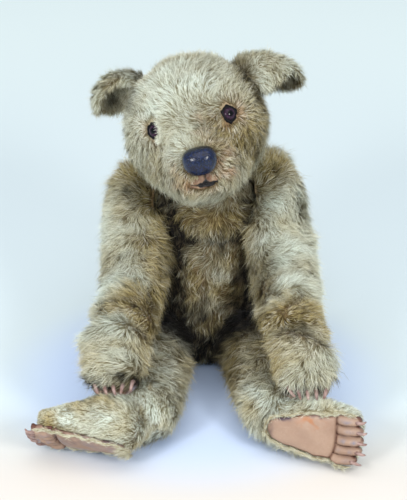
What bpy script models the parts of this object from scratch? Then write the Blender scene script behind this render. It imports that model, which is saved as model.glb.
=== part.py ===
"""A seated, threadbare mohair teddy bear with moulded rubber face, palms and soles.

Metres, +Z up. The bear sits on the plane z = 0 and faces -Y, so its left is +X.
Every stuffed piece is a plush cover with its own stuffing inside. The limbs' covers are
sewn to the torso's cover, and the head sits on a neck of stuffing that passes through
an opening in both covers. Nothing is jointed.
"""

import math

import bmesh
import bpy
from mathutils import Matrix, Vector

# ---------------------------------------------------------------- driving dimensions
PLUSH = 0.007            # backing cloth and the pile lying on it
RUBBER = 0.003           # wall of the moulded face mask
GAP = 0.0003             # between two pieces that touch
FINE_SIDES = 16          # round a cover's outside
COARSE_SIDES = 10        # round a cover's inside and its stuffing
DOME_RINGS = 3           # rings in each rounded end

# Stations are (x, y, z of the centre, half width, half height of the section).
TORSO = [
    (0.000, -0.004, 0.004, 0.072, 0.074),
    (0.000, -0.004, 0.030, 0.084, 0.086),
    (0.000, 0.001, 0.075, 0.087, 0.084),
    (0.001, 0.004, 0.120, 0.082, 0.072),
    (0.002, 0.006, 0.160, 0.075, 0.062),
    (0.002, 0.006, 0.195, 0.062, 0.052),
]
TORSO_DOMES = (0.012, 0.034)

HEAD_AT = (-0.007, -0.030, 0.271)
HEAD_ROLL = 13.0         # degrees, its left side up
HEAD_YAW = 2.0           # degrees, turned to its left
HEAD = [
    (0.0, 0.060, 0.006, 0.046, 0.046),
    (0.0, 0.035, 0.007, 0.069, 0.068),
    (0.0, 0.005, 0.006, 0.0795, 0.077),
    (0.0, -0.028, 0.001, 0.077, 0.074),
    (0.0, -0.052, -0.006, 0.066, 0.064),
    (0.0, -0.072, -0.012, 0.051, 0.049),
    (0.0, -0.093, -0.010, 0.037, 0.035),
]
HEAD_DOMES = (0.020, 0.018)

ARM_RIGHT = [
    (-0.066, 0.002, 0.190, 0.036, 0.036),
    (-0.073, -0.010, 0.168, 0.038, 0.040),
    (-0.075, -0.040, 0.140, 0.039, 0.040),
    (-0.075, -0.080, 0.118, 0.039, 0.036),
    (-0.078, -0.122, 0.107, 0.036, 0.032),
    (-0.082, -0.160, 0.103, 0.034, 0.030),
    (-0.0895, -0.196, 0.097, 0.0350, 0.027),
    (-0.0905, -0.230, 0.086, 0.0340, 0.021),
]
ARM_LEFT = [
    (0.070, 0.000, 0.204, 0.034, 0.036),
    (0.079, -0.010, 0.176, 0.037, 0.040),
    (0.083, -0.040, 0.147, 0.040, 0.040),
    (0.088, -0.080, 0.124, 0.039, 0.036),
    (0.091, -0.122, 0.110, 0.037, 0.032),
    (0.092, -0.160, 0.104, 0.035, 0.030),
    (0.0990, -0.198, 0.096, 0.0330, 0.027),
    (0.1050, -0.234, 0.083, 0.0330, 0.021),
]
ARM_DOMES = (0.030, 0.018)

LEG_RIGHT = [
    (-0.050, -0.010, 0.040, 0.038, 0.038),
    (-0.054, -0.060, 0.042, 0.045, 0.042),
    (-0.057, -0.115, 0.039, 0.047, 0.040),
    (-0.062, -0.170, 0.035, 0.047, 0.035),
    (-0.067, -0.229, 0.034, 0.045, 0.034),
]
LEG_LEFT = [
    (0.050, -0.010, 0.040, 0.038, 0.038),
    (0.055, -0.060, 0.042, 0.045, 0.042),
    (0.061, -0.115, 0.039, 0.045, 0.040),
    (0.070, -0.168, 0.035, 0.044, 0.035),
    (0.081, -0.220, 0.033, 0.044, 0.033),
]
LEG_DOMES = (0.030, 0.030)

LEG_FLOOR = 0.001        # the shin just clears the floor, the heel rests on it

# Feet run from the heel at the origin along their own +X to the toes, soles facing -Y.
FOOT = [
    (0.000, 0.0040, 0.0, 0.030, 0.027),
    (0.020, 0.0020, 0.0, 0.031, 0.031),
    (0.044, -0.0040, 0.0, 0.026, 0.032),
    (0.066, -0.0080, 0.0, 0.0205, 0.032),
    (0.0835, -0.0105, 0.0, 0.016, 0.030),
]
FOOT_DOMES = (0.023, 0.0075)

# The sole faces the foot's own -Y and is flat at this distance.
SOLE = 0.0225
# Where each heel stands, then the turns of the foot about Z, Y and X, in degrees.
FOOT_LEFT_AT = (0.076, -0.240, 0.033)
FOOT_LEFT_TURNS = (-17.0, 0.0, -8.0)
FOOT_RIGHT_AT = (-0.0785, -0.266, 0.0385)
FOOT_RIGHT_TURNS = (-12.0, 4.0, 42.0)
SOLE_PAD = [
    (0.005, 0.0, 0.0, 0.0032, 0.0140),
    (0.021, 0.0, 0.0, 0.0036, 0.0185),
    (0.041, 0.0, 0.0, 0.0038, 0.0225),
    (0.061, 0.0, 0.0, 0.0036, 0.0225),
]
SOLE_PAD_DOMES = (0.010, 0.006)
SOLE_TOES_X = 0.0775
SOLE_TOE_SIZE = (0.0152, 0.0058, 0.0058)
SOLE_TOE_PITCH = 0.0107
SOLE_TOES_ROOM = ((0.059, -0.0200, -0.0280), (0.1015, 0.0064, 0.0280))
PALM_PAD_SIZE = (0.025, 0.024, 0.0040)
CLAW_RADIUS = 0.0022
# Claw centrelines: (y, z) from the palm's middle, (x, height) from a toe's middle.
PALM_CLAW = ((-0.012, -0.002), (-0.022, 0.012), (-0.032, 0.002))
SOLE_CLAW = ((0.0105, 0.001), (0.0150, 0.003), (0.0195, 0.003))
CLAWS = 5
# How each palm is rolled, in degrees, and how much higher its innermost claw sits.
PALM_TILT = {1: 0.0, -1: -7.0}
CLAW_LIFT = {1: 0.0050, -1: 0.0080}


# Head fittings, in the head's own frame: +X its left, -Y its face, +Z its crown.
EYE_AT = (0.0392, -0.0638, 0.0322)
EYE_SIZE = (0.0068, 0.0048, 0.0068)
EYE_TURN = 30.0          # degrees outwards
EYE_LIFT = 24.0          # degrees upwards
EYE_WIRE_RADIUS = 0.0007
EYE_WIRE_LENGTH = 0.018
NOSE_AT = (0.001, -0.1075, 0.0065)
NOSE_SIZE = (0.0182, 0.0150, 0.0148)
MUZZLE_AT = (0.0, -0.108, -0.0035)
MUZZLE_SIZE = (0.0222, 0.036, 0.0255)
MUZZLE_PROUD = -0.0015   # the bare rubber lies this far from the plush's surface
MOUTH_AT = (0.0, -0.1175, -0.0180)
MOUTH_SIZE = (0.0135, 0.0100, 0.0013)
LIP_SIZE = (0.0145, 0.0040, 0.0024)
LIP_RISE = 0.0026
MASK_BACK = -0.030       # the mask's back edge, along the head's Y

# Each ear is a hood of doubled plush, open downwards. In the head's frame:
# centre, half sizes, turns about Y and X in degrees, and how the rim rises to show the inside:
# by how many degrees, at which bearing round the hood, and how narrowly.
EAR_LEFT = ((0.0775, 0.018, 0.024), (0.0500, 0.027, 0.037), (12.0, -8.0), (52.0, -32.0, 3.0))
EAR_RIGHT = ((-0.070, 0.026, 0.041), (0.036, 0.026, 0.033), (0.0, -30.0), (58.0, -92.0, 2.5))
EAR_THICKNESS = 0.009
EAR_ROOT = 0.003         # how deep it is sewn into the head's plush

NECK_AT = (0.0, -0.006)
NECK_RADIUS = 0.027
NECK_SPAN = (0.150, 0.228)

# Material slots: base colour (linear), roughness, metallic.
PLUSH_LOOK = ("plush", (0.36, 0.28, 0.17, 1), 0.95, 0.0)
FILL_LOOK = ("stuffing", (0.50, 0.42, 0.30, 1), 0.95, 0.0)
RUBBER_LOOK = ("rubber", (0.55, 0.27, 0.17, 1), 0.55, 0.0)
NOSE_LOOK = ("nose_paint", (0.012, 0.014, 0.030, 1), 0.18, 0.0)
GLASS_LOOK = ("eye_glass", (0.020, 0.010, 0.014, 1), 0.05, 0.0)
WIRE_LOOK = ("wire", (0.45, 0.44, 0.42, 1), 0.35, 1.0)


# ---------------------------------------------------------------- frames
def turned(axis, degrees):
    return Matrix.Rotation(math.radians(degrees), 4, axis)


MIRROR = Matrix.Diagonal((-1, 1, 1, 1))
HEAD_FRAME = Matrix.Translation(HEAD_AT) @ turned("Z", HEAD_YAW) @ turned("Y", -HEAD_ROLL)
FOOT_FRAMES = {
    "left": Matrix.Translation(FOOT_LEFT_AT) @ turned("Z", FOOT_LEFT_TURNS[0])
    @ turned("Y", FOOT_LEFT_TURNS[1]) @ turned("X", FOOT_LEFT_TURNS[2]),
    "right": Matrix.Translation(FOOT_RIGHT_AT) @ turned("Z", FOOT_RIGHT_TURNS[0])
    @ turned("Y", FOOT_RIGHT_TURNS[1]) @ turned("X", FOOT_RIGHT_TURNS[2]) @ MIRROR,
}


# ---------------------------------------------------------------- shapes
def finished(name, bm, frame=None):
    """The mesh as an object, all triangles, with its faces pointing out."""
    if frame is not None:
        bm.transform(frame)
    bmesh.ops.triangulate(bm, faces=bm.faces)
    bmesh.ops.recalc_face_normals(bm, faces=bm.faces)
    mesh = bpy.data.meshes.new(name)
    bm.to_mesh(mesh)
    bm.free()
    mesh.shade_smooth()
    obj = bpy.data.objects.new(name, mesh)
    bpy.context.scene.collection.objects.link(obj)
    return obj


def between(stations, count):
    """Sections spaced evenly along a Catmull-Rom curve through the stations."""
    points = [Vector(s) for s in stations]
    points = [2 * points[0] - points[1]] + points + [2 * points[-1] - points[-2]]
    found = []
    for step in range(count):
        at = step * (len(stations) - 1) / (count - 1)
        first = min(int(at), len(stations) - 2)
        t = at - first
        a, b, c, d = points[first:first + 4]
        found.append(0.5 * (2 * b + (c - a) * t + (2 * a - 5 * b + 4 * c - d) * t ** 2
                            + (3 * b - a - 3 * c + d) * t ** 3))
    return found


def with_domes(sections, domes, grow, dome_rings):
    """Rings of (centre, half width, half height) with rounded ends, and the two poles."""
    rings = [(Vector(s[:3]), s[3] + grow, s[4] + grow) for s in sections]
    ends = []
    for near, inner, height in ((rings[0], rings[1], domes[0]), (rings[-1], rings[-2], domes[1])):
        way = (near[0] - inner[0]).normalized()
        cap = []
        for k in range(1, dome_rings + 1):
            angle = math.radians(90) * k / (dome_rings + 0.6)
            out = way * (height + grow) * math.sin(angle)
            cap.append((near[0] + out, near[1] * math.cos(angle), near[2] * math.cos(angle)))
        ends.append((cap, near[0] + way * (height + grow)))
    return ends[0][0][::-1] + rings + ends[1][0], ends[0][1], ends[1][1]


def loft(name, stations, domes, up, grow=0.0, sides=FINE_SIDES, rings=10, frame=None,
         floor=None, sole=None, dome_rings=DOME_RINGS):
    """A closed, rounded tube through the stations, all its sections grown alike."""
    sections, first, last = with_domes(between(stations, rings), domes, grow, dome_rings)
    up = Vector(up)
    bm = bmesh.new()
    loops = []
    for index, (centre, wide, high) in enumerate(sections):
        before = sections[max(index - 1, 0)][0]
        after = sections[min(index + 1, len(sections) - 1)][0]
        along = (after - before).normalized()
        side = along.cross(up).normalized()
        top = side.cross(along)
        turns = [math.tau * k / sides for k in range(sides)]
        loops.append([bm.verts.new(centre + side * wide * math.cos(a) + top * high * math.sin(a))
                      for a in turns])
    for low, high in zip(loops, loops[1:]):
        for k in range(sides):
            n = (k + 1) % sides
            bm.faces.new((low[k], low[n], high[n], high[k]))
    for pole, loop in ((bm.verts.new(first), loops[0]), (bm.verts.new(last), loops[-1])):
        for k in range(sides):
            bm.faces.new((pole, loop[k], loop[(k + 1) % sides]))
    if sole is not None:
        for vert in bm.verts:
            vert.co.y = max(vert.co.y, -sole - grow)
    if frame is not None:
        bm.transform(frame)
    if floor is not None:
        for vert in bm.verts:
            vert.co.z = max(vert.co.z, floor - grow)
    return finished(name, bm)


def ball(name, centre, half, grow=0.0, turn=None, frame=None, segments=14, rings=8):
    """A squashed ball."""
    bm = bmesh.new()
    bmesh.ops.create_uvsphere(bm, u_segments=segments, v_segments=rings, radius=1.0)
    size = Matrix.Diagonal([h + grow for h in half] + [1])
    bm.transform(Matrix.Translation(centre) @ (turn or Matrix()) @ size)
    return finished(name, bm, frame)


def rod(name, start, end, radius, frame=None, segments=8):
    """A straight round rod between two points."""
    start, end = Vector(start), Vector(end)
    bm = bmesh.new()
    bmesh.ops.create_cone(bm, cap_ends=True, segments=segments, radius1=radius, radius2=radius,
                          depth=(end - start).length)
    turn = (end - start).to_track_quat("Z", "Y").to_matrix().to_4x4()
    bm.transform(Matrix.Translation((start + end) / 2) @ turn)
    return finished(name, bm, frame)


def block(name, low, high, frame=None):
    bm = bmesh.new()
    bmesh.ops.create_cube(bm, size=1.0)
    low, high = Vector(low), Vector(high)
    bm.transform(Matrix.Translation((low + high) / 2) @ Matrix.Diagonal([*(high - low), 1]))
    return finished(name, bm, frame)


def claw(name, points, grow=0.0, frame=None):
    """A blunt, tapering claw through the points, its root inside the rubber."""
    sizes = (1.0, 0.95, 0.5)
    stations = [(*p, size * CLAW_RADIUS, size * CLAW_RADIUS) for p, size in zip(points, sizes)]
    return loft(name, stations, (0.001, 0.001), (1, 0.1, 0.1), grow, 5, 3, frame, dome_rings=1)


def hood(name, spec, grow, frame):
    """A dome-shaped sheet, open downwards: an ear. Growing it thickens the sheet."""
    centre, half, turns, (lifted, bearing, narrow) = spec
    across, down = 24, 6
    bm = bmesh.new()
    sheets = []
    for offset in (grow, -EAR_THICKNESS - grow):
        size = [h + offset for h in half]
        crown = bm.verts.new((0, 0, size[2]))
        loops = []
        for row in range(1, down + 1):
            loop = []
            for k in range(across):
                turn = math.tau * k / across
                open_here = max(0.0, math.cos(turn - math.radians(bearing))) ** narrow
                rim = math.radians(90 + 14 - lifted * open_here) + grow / half[2]
                lean = rim * row / down
                loop.append(bm.verts.new((size[0] * math.sin(lean) * math.cos(turn),
                                          size[1] * math.sin(lean) * math.sin(turn),
                                          size[2] * math.cos(lean))))
            loops.append(loop)
        sheets.append((crown, loops))
    for crown, loops in sheets:
        for k in range(across):
            bm.faces.new((crown, loops[0][k], loops[0][(k + 1) % across]))
        for low, high in zip(loops, loops[1:]):
            for k in range(across):
                n = (k + 1) % across
                bm.faces.new((low[k], low[n], high[n], high[k]))
    outer, inner = sheets[0][1][-1], sheets[1][1][-1]
    for k in range(across):
        n = (k + 1) % across
        bm.faces.new((outer[k], outer[n], inner[n], inner[k]))
    turn = turned("Y", turns[0]) @ turned("X", turns[1])
    return finished(name, bm, frame @ Matrix.Translation(centre) @ turn)


# ---------------------------------------------------------------- Booleans
def helper(obj):
    """Marks a cutter, which isn't a piece of the bear."""
    obj.hide_render = True
    obj.display_type = "WIRE"
    return obj


def combine(target, others, operation):
    for other in others:
        modifier = target.modifiers.new("to " + other.name, "BOOLEAN")
        modifier.operation = operation
        modifier.solver = "EXACT"
        modifier.object = helper(other)
    return target


def cut(target, *cutters):
    return combine(target, cutters, "DIFFERENCE")


def join(target, *others):
    return combine(target, others, "UNION")


def keep(target, other):
    return combine(target, [other], "INTERSECT")


# ---------------------------------------------------------------- stuffed forms
def form(part, use, grow, fine):
    """A stuffed part's whole outer form, grown or shrunk."""
    sides = FINE_SIDES if fine else COARSE_SIDES
    rings = 9 if fine else 7
    name = part + " " + use
    caps = DOME_RINGS if fine else 2
    kind, _, which = part.partition("_")
    if kind == "head":
        return loft(name, HEAD, HEAD_DOMES, (0, 0, 1), grow, sides, rings, HEAD_FRAME, dome_rings=caps)
    if kind == "torso":
        return loft(name, TORSO, TORSO_DOMES, (0, -1, 0), grow, sides, rings, floor=0.0, dome_rings=caps)
    if kind == "arm":
        stations = ARM_LEFT if which == "left" else ARM_RIGHT
        return loft(name, stations, ARM_DOMES, (0, -0.6, 0.8), grow, sides, rings, floor=0.0,
                    dome_rings=caps)
    stations = LEG_LEFT if which == "left" else LEG_RIGHT
    leg = loft(name, stations, LEG_DOMES, (0, 0, 1), grow, sides, rings, floor=LEG_FLOOR,
               dome_rings=caps)
    foot = loft(name + " foot", FOOT, FOOT_DOMES, (0, 0, 1), grow, sides, rings,
                FOOT_FRAMES[which], floor=0.0, sole=SOLE, dome_rings=caps)
    return join(leg, foot)


made = {}


def swollen(part, by, fine=True):
    """The form grown by so much, to cut its neighbours with. Made once."""
    key = (part, by, fine)
    if key not in made:
        made[key] = form(part, "swollen %.1f" % (by * 1000), by, fine)
    return made[key]


def cover(part, sewn_to, against):
    """The plush: open where it is sewn to a neighbour, closed where it only lies against one."""
    outer = form(part, "cover", 0.0, True)
    inner = form(part, "hollow", -PLUSH, False)
    cut(inner, *[swollen(n, GAP + PLUSH, False) for n in against])
    cut(outer, inner, *[swollen(n, GAP) for n in (*sewn_to, *against)])
    return outer


def stuffing(part, sewn_to, against):
    fill = form(part, "stuffing", -PLUSH - GAP, False)
    cut(fill, *[swollen(n, GAP) for n in sewn_to])
    return cut(fill, *[swollen(n, 2 * GAP + PLUSH, False) for n in against])


# ---------------------------------------------------------------- pieces
nodes = []


def node(obj, name, look):
    """Names a finished piece and gives it its material."""
    obj.name = name
    label, colour, roughness, metallic = look
    material = bpy.data.materials.new(name + "_" + label)
    material.use_nodes = True
    shader = next(n for n in material.node_tree.nodes if n.type == "BSDF_PRINCIPLED")
    shader.inputs["Base Color"].default_value = colour
    shader.inputs["Roughness"].default_value = roughness
    shader.inputs["Metallic"].default_value = metallic
    obj.data.materials.append(material)
    nodes.append(obj)
    return obj


def neck(name, grow):
    low, high = NECK_SPAN
    return rod(name, (*NECK_AT, low - grow), (*NECK_AT, high + grow), NECK_RADIUS + grow, segments=16)


def muzzle(name, grow):
    return ball(name, MUZZLE_AT, MUZZLE_SIZE, grow, frame=HEAD_FRAME, segments=16, rings=10)


def eye_turn(side):
    return turned("Z", side * EYE_TURN) @ turned("X", -EYE_LIFT)


def eye(name, side, grow=0.0):
    at = (side * EYE_AT[0], EYE_AT[1], EYE_AT[2])
    return ball(name, at, EYE_SIZE, grow, eye_turn(side), HEAD_FRAME, 12, 8)


def eye_way(side):
    """The unit vector out of the head through an eye."""
    return eye_turn(side) @ Vector((0, -1, 0))


def eye_hole(name, side, radius):
    """A straight hole from the eye out through the plush."""
    at = Vector((side * EYE_AT[0], EYE_AT[1], EYE_AT[2]))
    way = eye_way(side)
    return rod(name, at - way * 0.0005, at + way * 0.03, radius, HEAD_FRAME, 12)


def eye_wire(name, side, grow=0.0):
    at = Vector((side * EYE_AT[0], EYE_AT[1], EYE_AT[2]))
    way = eye_way(side)
    start = at - way * (EYE_SIZE[1] + GAP - grow)
    end = start - way * (EYE_WIRE_LENGTH + 2 * grow)
    return rod(name, start, end, EYE_WIRE_RADIUS + grow, HEAD_FRAME, 6)


def head_pieces():
    far = 0.3
    whole = cut(form("head", "cover", 0.0, True), form("head", "hollow", -PLUSH, True))
    nose_room = ball("nose pocket", NOSE_AT, NOSE_SIZE, GAP, frame=HEAD_FRAME, segments=16, rings=10)
    cut(whole, neck("neck hole in the head", GAP), muzzle("muzzle window", 0.0), nose_room)
    for side, label in ((1, "left"), (-1, "right")):
        cut(whole, eye_hole("eye hole " + label, side, EYE_SIZE[0] + 0.0014))

    # The mask lines the front of the plush and fills the muzzle's window.
    mask = form("head", "mask", -PLUSH - GAP, True)
    plug = form("head", "muzzle plug", MUZZLE_PROUD, True)
    keep(plug, muzzle("muzzle plug outline", -GAP))
    join(mask, plug)
    cut(mask, form("head", "mask hollow", -PLUSH - GAP - RUBBER, False))
    keep(mask, block("front of the head", (-far, -far, -far), (far, MASK_BACK, far), HEAD_FRAME))
    for rise, label in ((LIP_RISE, "upper"), (-LIP_RISE, "lower")):
        at = (MOUTH_AT[0], MOUTH_AT[1] + 0.0088 + 0.0008 * (rise < 0), MOUTH_AT[2] + rise)
        join(mask, ball(label + " lip", at, LIP_SIZE, frame=HEAD_FRAME, segments=12, rings=6))
    cut(mask, ball("mouth slit", MOUTH_AT, MOUTH_SIZE, frame=HEAD_FRAME, segments=12, rings=6), nose_room,
        neck("neck hole in the mask", GAP))
    nose = ball("nose form", NOSE_AT, NOSE_SIZE, frame=HEAD_FRAME, segments=16, rings=10)

    # Behind the mask's edge the stuffing reaches the plush.
    fill = form("head", "stuffing", -PLUSH - RUBBER - 2 * GAP, False)
    back = form("head", "stuffing behind the mask", -PLUSH - GAP, True)
    keep(back, block("back of the head", (-far, MASK_BACK + GAP, -far), (far, far, far), HEAD_FRAME))
    join(fill, back)
    cut(fill, neck("neck hole in the stuffing", GAP), nose_room)

    for side, label in ((1, "left"), (-1, "right")):
        cut(mask, eye("eye socket " + label, side, GAP), eye_wire("wire hole " + label, side, GAP),
            eye_hole("socket mouth " + label, side, EYE_SIZE[0] + 0.0010))
        cut(fill, eye_wire("wire way " + label, side, GAP), eye("eye room " + label, side, GAP))
        cut(whole, eye("eye recess " + label, side, GAP))
        node(eye("eye " + label, side), "eye_" + label, GLASS_LOOK)
        node(eye_wire("wire " + label, side), "eye_wire_" + label, WIRE_LOOK)

    for label, spec in (("left", EAR_LEFT), ("right", EAR_RIGHT)):
        ear = cut(hood("ear " + label, spec, 0.0, HEAD_FRAME), form("head", "ear root " + label, -EAR_ROOT, True))
        groove = hood("ear groove " + label, spec, GAP, HEAD_FRAME)
        cut(groove, form("head", "ear groove depth " + label, -EAR_ROOT - GAP, True))
        cut(whole, groove)
        node(ear, "ear_" + label, PLUSH_LOOK)
    node(whole, "head_cover", PLUSH_LOOK)
    node(mask, "face_mask", RUBBER_LOOK)
    node(fill, "head_stuffing", FILL_LOOK)
    node(nose, "nose", NOSE_LOOK)


def torso_pieces():
    whole = cover("torso", (), ("head",))
    cut(whole, neck("neck hole in the torso", GAP))
    fill = stuffing("torso", (), ("head",))
    join(fill, neck("neck", 0.0))
    node(whole, "torso_cover", PLUSH_LOOK)
    node(fill, "torso_stuffing", FILL_LOOK)


def palm(name, side, grow):
    """The rubber palm under a paw, with its claws."""
    stations = ARM_LEFT if side > 0 else ARM_RIGHT
    x, y, z, wide, high = stations[-1]
    at = Vector((x, y + 0.006, z - high + 0.0035))
    turn = turned("Y", PALM_TILT[side]) @ turned("X", 12)
    pad = ball(name, at, PALM_PAD_SIZE, grow, turn)
    for k in range(CLAWS):
        offset = k / (CLAWS - 1) - 0.5
        lift = CLAW_LIFT[side] * max(0.0, -side * offset)
        root = at + Vector((offset * 0.040, 0.003 * (2 * offset) ** 2, lift))
        points = [root + Vector((0, y, z)) for y, z in PALM_CLAW]
        join(pad, claw("%s claw %d" % (name, k), points, grow))
    return pad


def sole_pad(name, which):
    """The rubber sole: a pad, five toes side by side, and a claw on each toe."""
    frame = FOOT_FRAMES[which] @ Matrix.Translation((0, -SOLE + 0.0012, 0))
    pad = loft(name, SOLE_PAD, SOLE_PAD_DOMES, (0, 0, 1), 0.0, 12, 6, frame, dome_rings=1)
    for k in range(CLAWS):
        rise = (k - (CLAWS - 1) / 2) * SOLE_TOE_PITCH
        back = 0.0010 * (k - 2) ** 2
        at = (SOLE_TOES_X - back, 0, rise)
        join(pad, ball("%s toe %d" % (name, k), at, SOLE_TOE_SIZE, frame=frame,
                       segments=8, rings=6))
        points = [(at[0] + x, -y, rise + x * 0.10 * (k - 2)) for x, y in SOLE_CLAW]
        join(pad, claw("%s claw %d" % (name, k), points, 0.0, frame))
    return pad


def sole_room(name, which):
    """The hollow in the plush that the rubber sole lies in."""
    frame = FOOT_FRAMES[which] @ Matrix.Translation((0, -SOLE + 0.0012, 0))
    room = loft(name, SOLE_PAD, SOLE_PAD_DOMES, (0, 0, 1), GAP, 12, 6, frame, dome_rings=1)
    low, high = SOLE_TOES_ROOM
    return join(room, block(name + " toes", low, high, frame))


def limb_pieces():
    for which, side in (("left", 1), ("right", -1)):
        arm, leg = "arm_" + which, "leg_" + which
        foot_cut = sole_room("sole room " + which, which)
        whole = cut(cover(leg, ("torso",), ()), foot_cut)
        node(whole, "leg_cover_" + which, PLUSH_LOOK)
        node(cut(stuffing(leg, ("torso",), ()), foot_cut), "leg_stuffing_" + which, FILL_LOOK)
        node(sole_pad("sole " + which, which), "sole_pad_" + which, RUBBER_LOOK)

        pad = palm("palm " + which, side, 0.0)
        cut(pad, swollen(leg, GAP))
        palm_cut = palm("palm room " + which, side, GAP)
        node(cut(cover(arm, ("torso",), ("head", leg)), palm_cut), "arm_cover_" + which, PLUSH_LOOK)
        fill = cut(stuffing(arm, ("torso",), ("head", leg)), palm_cut)
        node(fill, "arm_stuffing_" + which, FILL_LOOK)
        node(pad, "palm_pad_" + which, RUBBER_LOOK)


def centre_over_origin():
    """Moves everything so that the bear's box stands centred on the origin."""
    bpy.context.view_layer.update()
    graph = bpy.context.evaluated_depsgraph_get()
    points = [Vector(corner) for obj in nodes for corner in obj.evaluated_get(graph).bound_box]
    low = [min(p[axis] for p in points) for axis in range(3)]
    high = [max(p[axis] for p in points) for axis in range(3)]
    for obj in bpy.data.objects:
        obj.location = (-(low[0] + high[0]) / 2, -(low[1] + high[1]) / 2, -low[2])


for leftover in list(bpy.data.objects):
    bpy.data.objects.remove(leftover)
head_pieces()
torso_pieces()
limb_pieces()
centre_over_origin()
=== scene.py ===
"""The looks of a seated, threadbare mohair teddy bear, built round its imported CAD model.

Metres, +Z up, the bear faces -Y, so its left is +X. Points and sizes that come from the
model's own source are written in that source's frame, which lies SHIFT away from the
packed one.
"""

import math
from functools import partial

import bmesh
import bpy
import numpy as np
from mathutils import Matrix, Vector, kdtree
from mathutils.bvhtree import BVHTree


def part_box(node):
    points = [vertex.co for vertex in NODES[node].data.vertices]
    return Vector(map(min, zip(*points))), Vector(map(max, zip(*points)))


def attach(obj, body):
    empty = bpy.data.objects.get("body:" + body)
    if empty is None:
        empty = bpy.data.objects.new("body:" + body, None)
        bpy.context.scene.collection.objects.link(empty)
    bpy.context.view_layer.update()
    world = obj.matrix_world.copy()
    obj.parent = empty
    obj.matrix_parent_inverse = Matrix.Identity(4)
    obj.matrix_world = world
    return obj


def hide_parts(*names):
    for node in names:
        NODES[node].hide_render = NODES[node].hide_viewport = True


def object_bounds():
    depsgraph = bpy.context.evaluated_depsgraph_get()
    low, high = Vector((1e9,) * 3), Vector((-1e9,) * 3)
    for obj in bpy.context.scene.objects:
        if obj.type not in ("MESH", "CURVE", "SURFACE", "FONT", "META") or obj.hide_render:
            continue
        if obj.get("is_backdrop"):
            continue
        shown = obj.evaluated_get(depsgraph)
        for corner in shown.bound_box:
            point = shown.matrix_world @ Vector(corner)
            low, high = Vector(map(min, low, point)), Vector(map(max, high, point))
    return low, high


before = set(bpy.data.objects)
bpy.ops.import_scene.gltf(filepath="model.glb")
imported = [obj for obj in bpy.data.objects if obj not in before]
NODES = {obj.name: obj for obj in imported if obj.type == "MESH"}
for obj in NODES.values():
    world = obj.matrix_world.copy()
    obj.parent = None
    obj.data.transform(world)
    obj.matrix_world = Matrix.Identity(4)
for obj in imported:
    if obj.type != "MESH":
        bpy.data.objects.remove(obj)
cad_low, cad_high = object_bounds()

# ---------------------------------------------------------------- the model's own sizes
HEAD_AT, HEAD_ROLL, HEAD_YAW = (-0.007, -0.030, 0.271), 13.0, 2.0
ARMS = {
    "right": [
        (-0.066, 0.002, 0.190, 0.036, 0.036), (-0.073, -0.010, 0.168, 0.038, 0.040),
        (-0.075, -0.040, 0.140, 0.039, 0.040), (-0.075, -0.080, 0.118, 0.039, 0.036),
        (-0.078, -0.122, 0.107, 0.036, 0.032), (-0.082, -0.160, 0.103, 0.034, 0.030),
        (-0.0895, -0.196, 0.097, 0.0350, 0.027), (-0.0905, -0.230, 0.086, 0.0340, 0.021),
    ],
    "left": [
        (0.070, 0.000, 0.204, 0.034, 0.036), (0.079, -0.010, 0.176, 0.037, 0.040),
        (0.083, -0.040, 0.147, 0.040, 0.040), (0.088, -0.080, 0.124, 0.039, 0.036),
        (0.091, -0.122, 0.110, 0.037, 0.032), (0.092, -0.160, 0.104, 0.035, 0.030),
        (0.0990, -0.198, 0.096, 0.0330, 0.027), (0.1050, -0.234, 0.083, 0.0330, 0.021),
    ],
}
SOLE = 0.0225
FEET = {
    "left": ((0.076, -0.240, 0.033), (-17.0, 0.0, -8.0), 1),
    "right": ((-0.0785, -0.266, 0.0385), (-12.0, 4.0, 42.0), -1),
}
EYE_AT, EYE_SIZE, EYE_TURN, EYE_LIFT = (0.0392, -0.0638, 0.0322), (0.0068, 0.0048, 0.0068), 30.0, 24.0
NOSE_AT, NOSE_SIZE = (0.001, -0.1075, 0.0065), (0.0182, 0.0150, 0.0148)
EARS = {
    "left": ((0.0775, 0.018, 0.024), (0.0500, 0.027, 0.037), (12.0, -8.0)),
    "right": ((-0.070, 0.026, 0.041), (0.036, 0.026, 0.033), (0.0, -30.0)),
}
SIDES = {"left": 1, "right": -1}     # each side's hand, the sign of its X
FLOOR_GAP = 0.0004                   # nothing soft comes nearer to the floor


def turned(axis, degrees):
    return Matrix.Rotation(math.radians(degrees), 4, axis)


HEAD_FRAME = Matrix.Translation(HEAD_AT) @ turned("Z", HEAD_YAW) @ turned("Y", -HEAD_ROLL)
nose_low, nose_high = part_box("nose")
SHIFT = (nose_low + nose_high) / 2 - HEAD_FRAME @ Vector(NOSE_AT)
SHIFT = Vector((round(SHIFT.x, 4), round(SHIFT.y, 4), 0.0))
SHIFTED, OFFSET = Matrix.Translation(SHIFT), np.array(SHIFT)
HEAD_PLACE = SHIFTED @ HEAD_FRAME


def foot_frame(side):
    """A foot's own place: heel to toe along X, the sole on -Y. The right one is mirrored."""
    at, (z, y, x), hand = FEET[side]
    standing = SHIFTED @ Matrix.Translation(at) @ turned("Z", z) @ turned("Y", y) @ turned("X", x)
    return standing @ Matrix.Diagonal((hand, 1, 1, 1))


def ear_frame(side):
    centre, _, (y, x) = EARS[side]
    return HEAD_PLACE @ Matrix.Translation(centre) @ turned("Y", y) @ turned("X", x)


def into(matrix, points):
    """World points in the coordinates of a frame."""
    inverse = np.array(matrix.inverted(), float)
    return points @ inverse[:3, :3].T + inverse[:3, 3]


def out_of(matrix, points):
    """The other way: points in the coordinates of a frame, as world points."""
    m = np.array(matrix, float)
    return np.asarray(points, float) @ m[:3, :3].T + m[:3, 3]


def in_foot(side, here):
    """Points of the source's frame in the coordinates of a foot."""
    return into(foot_frame(side), here + OFFSET)


# ---------------------------------------------------------------- small maths
def unit(vectors):
    return vectors / np.maximum(np.linalg.norm(vectors, axis=-1, keepdims=True), 1e-9)


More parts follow.
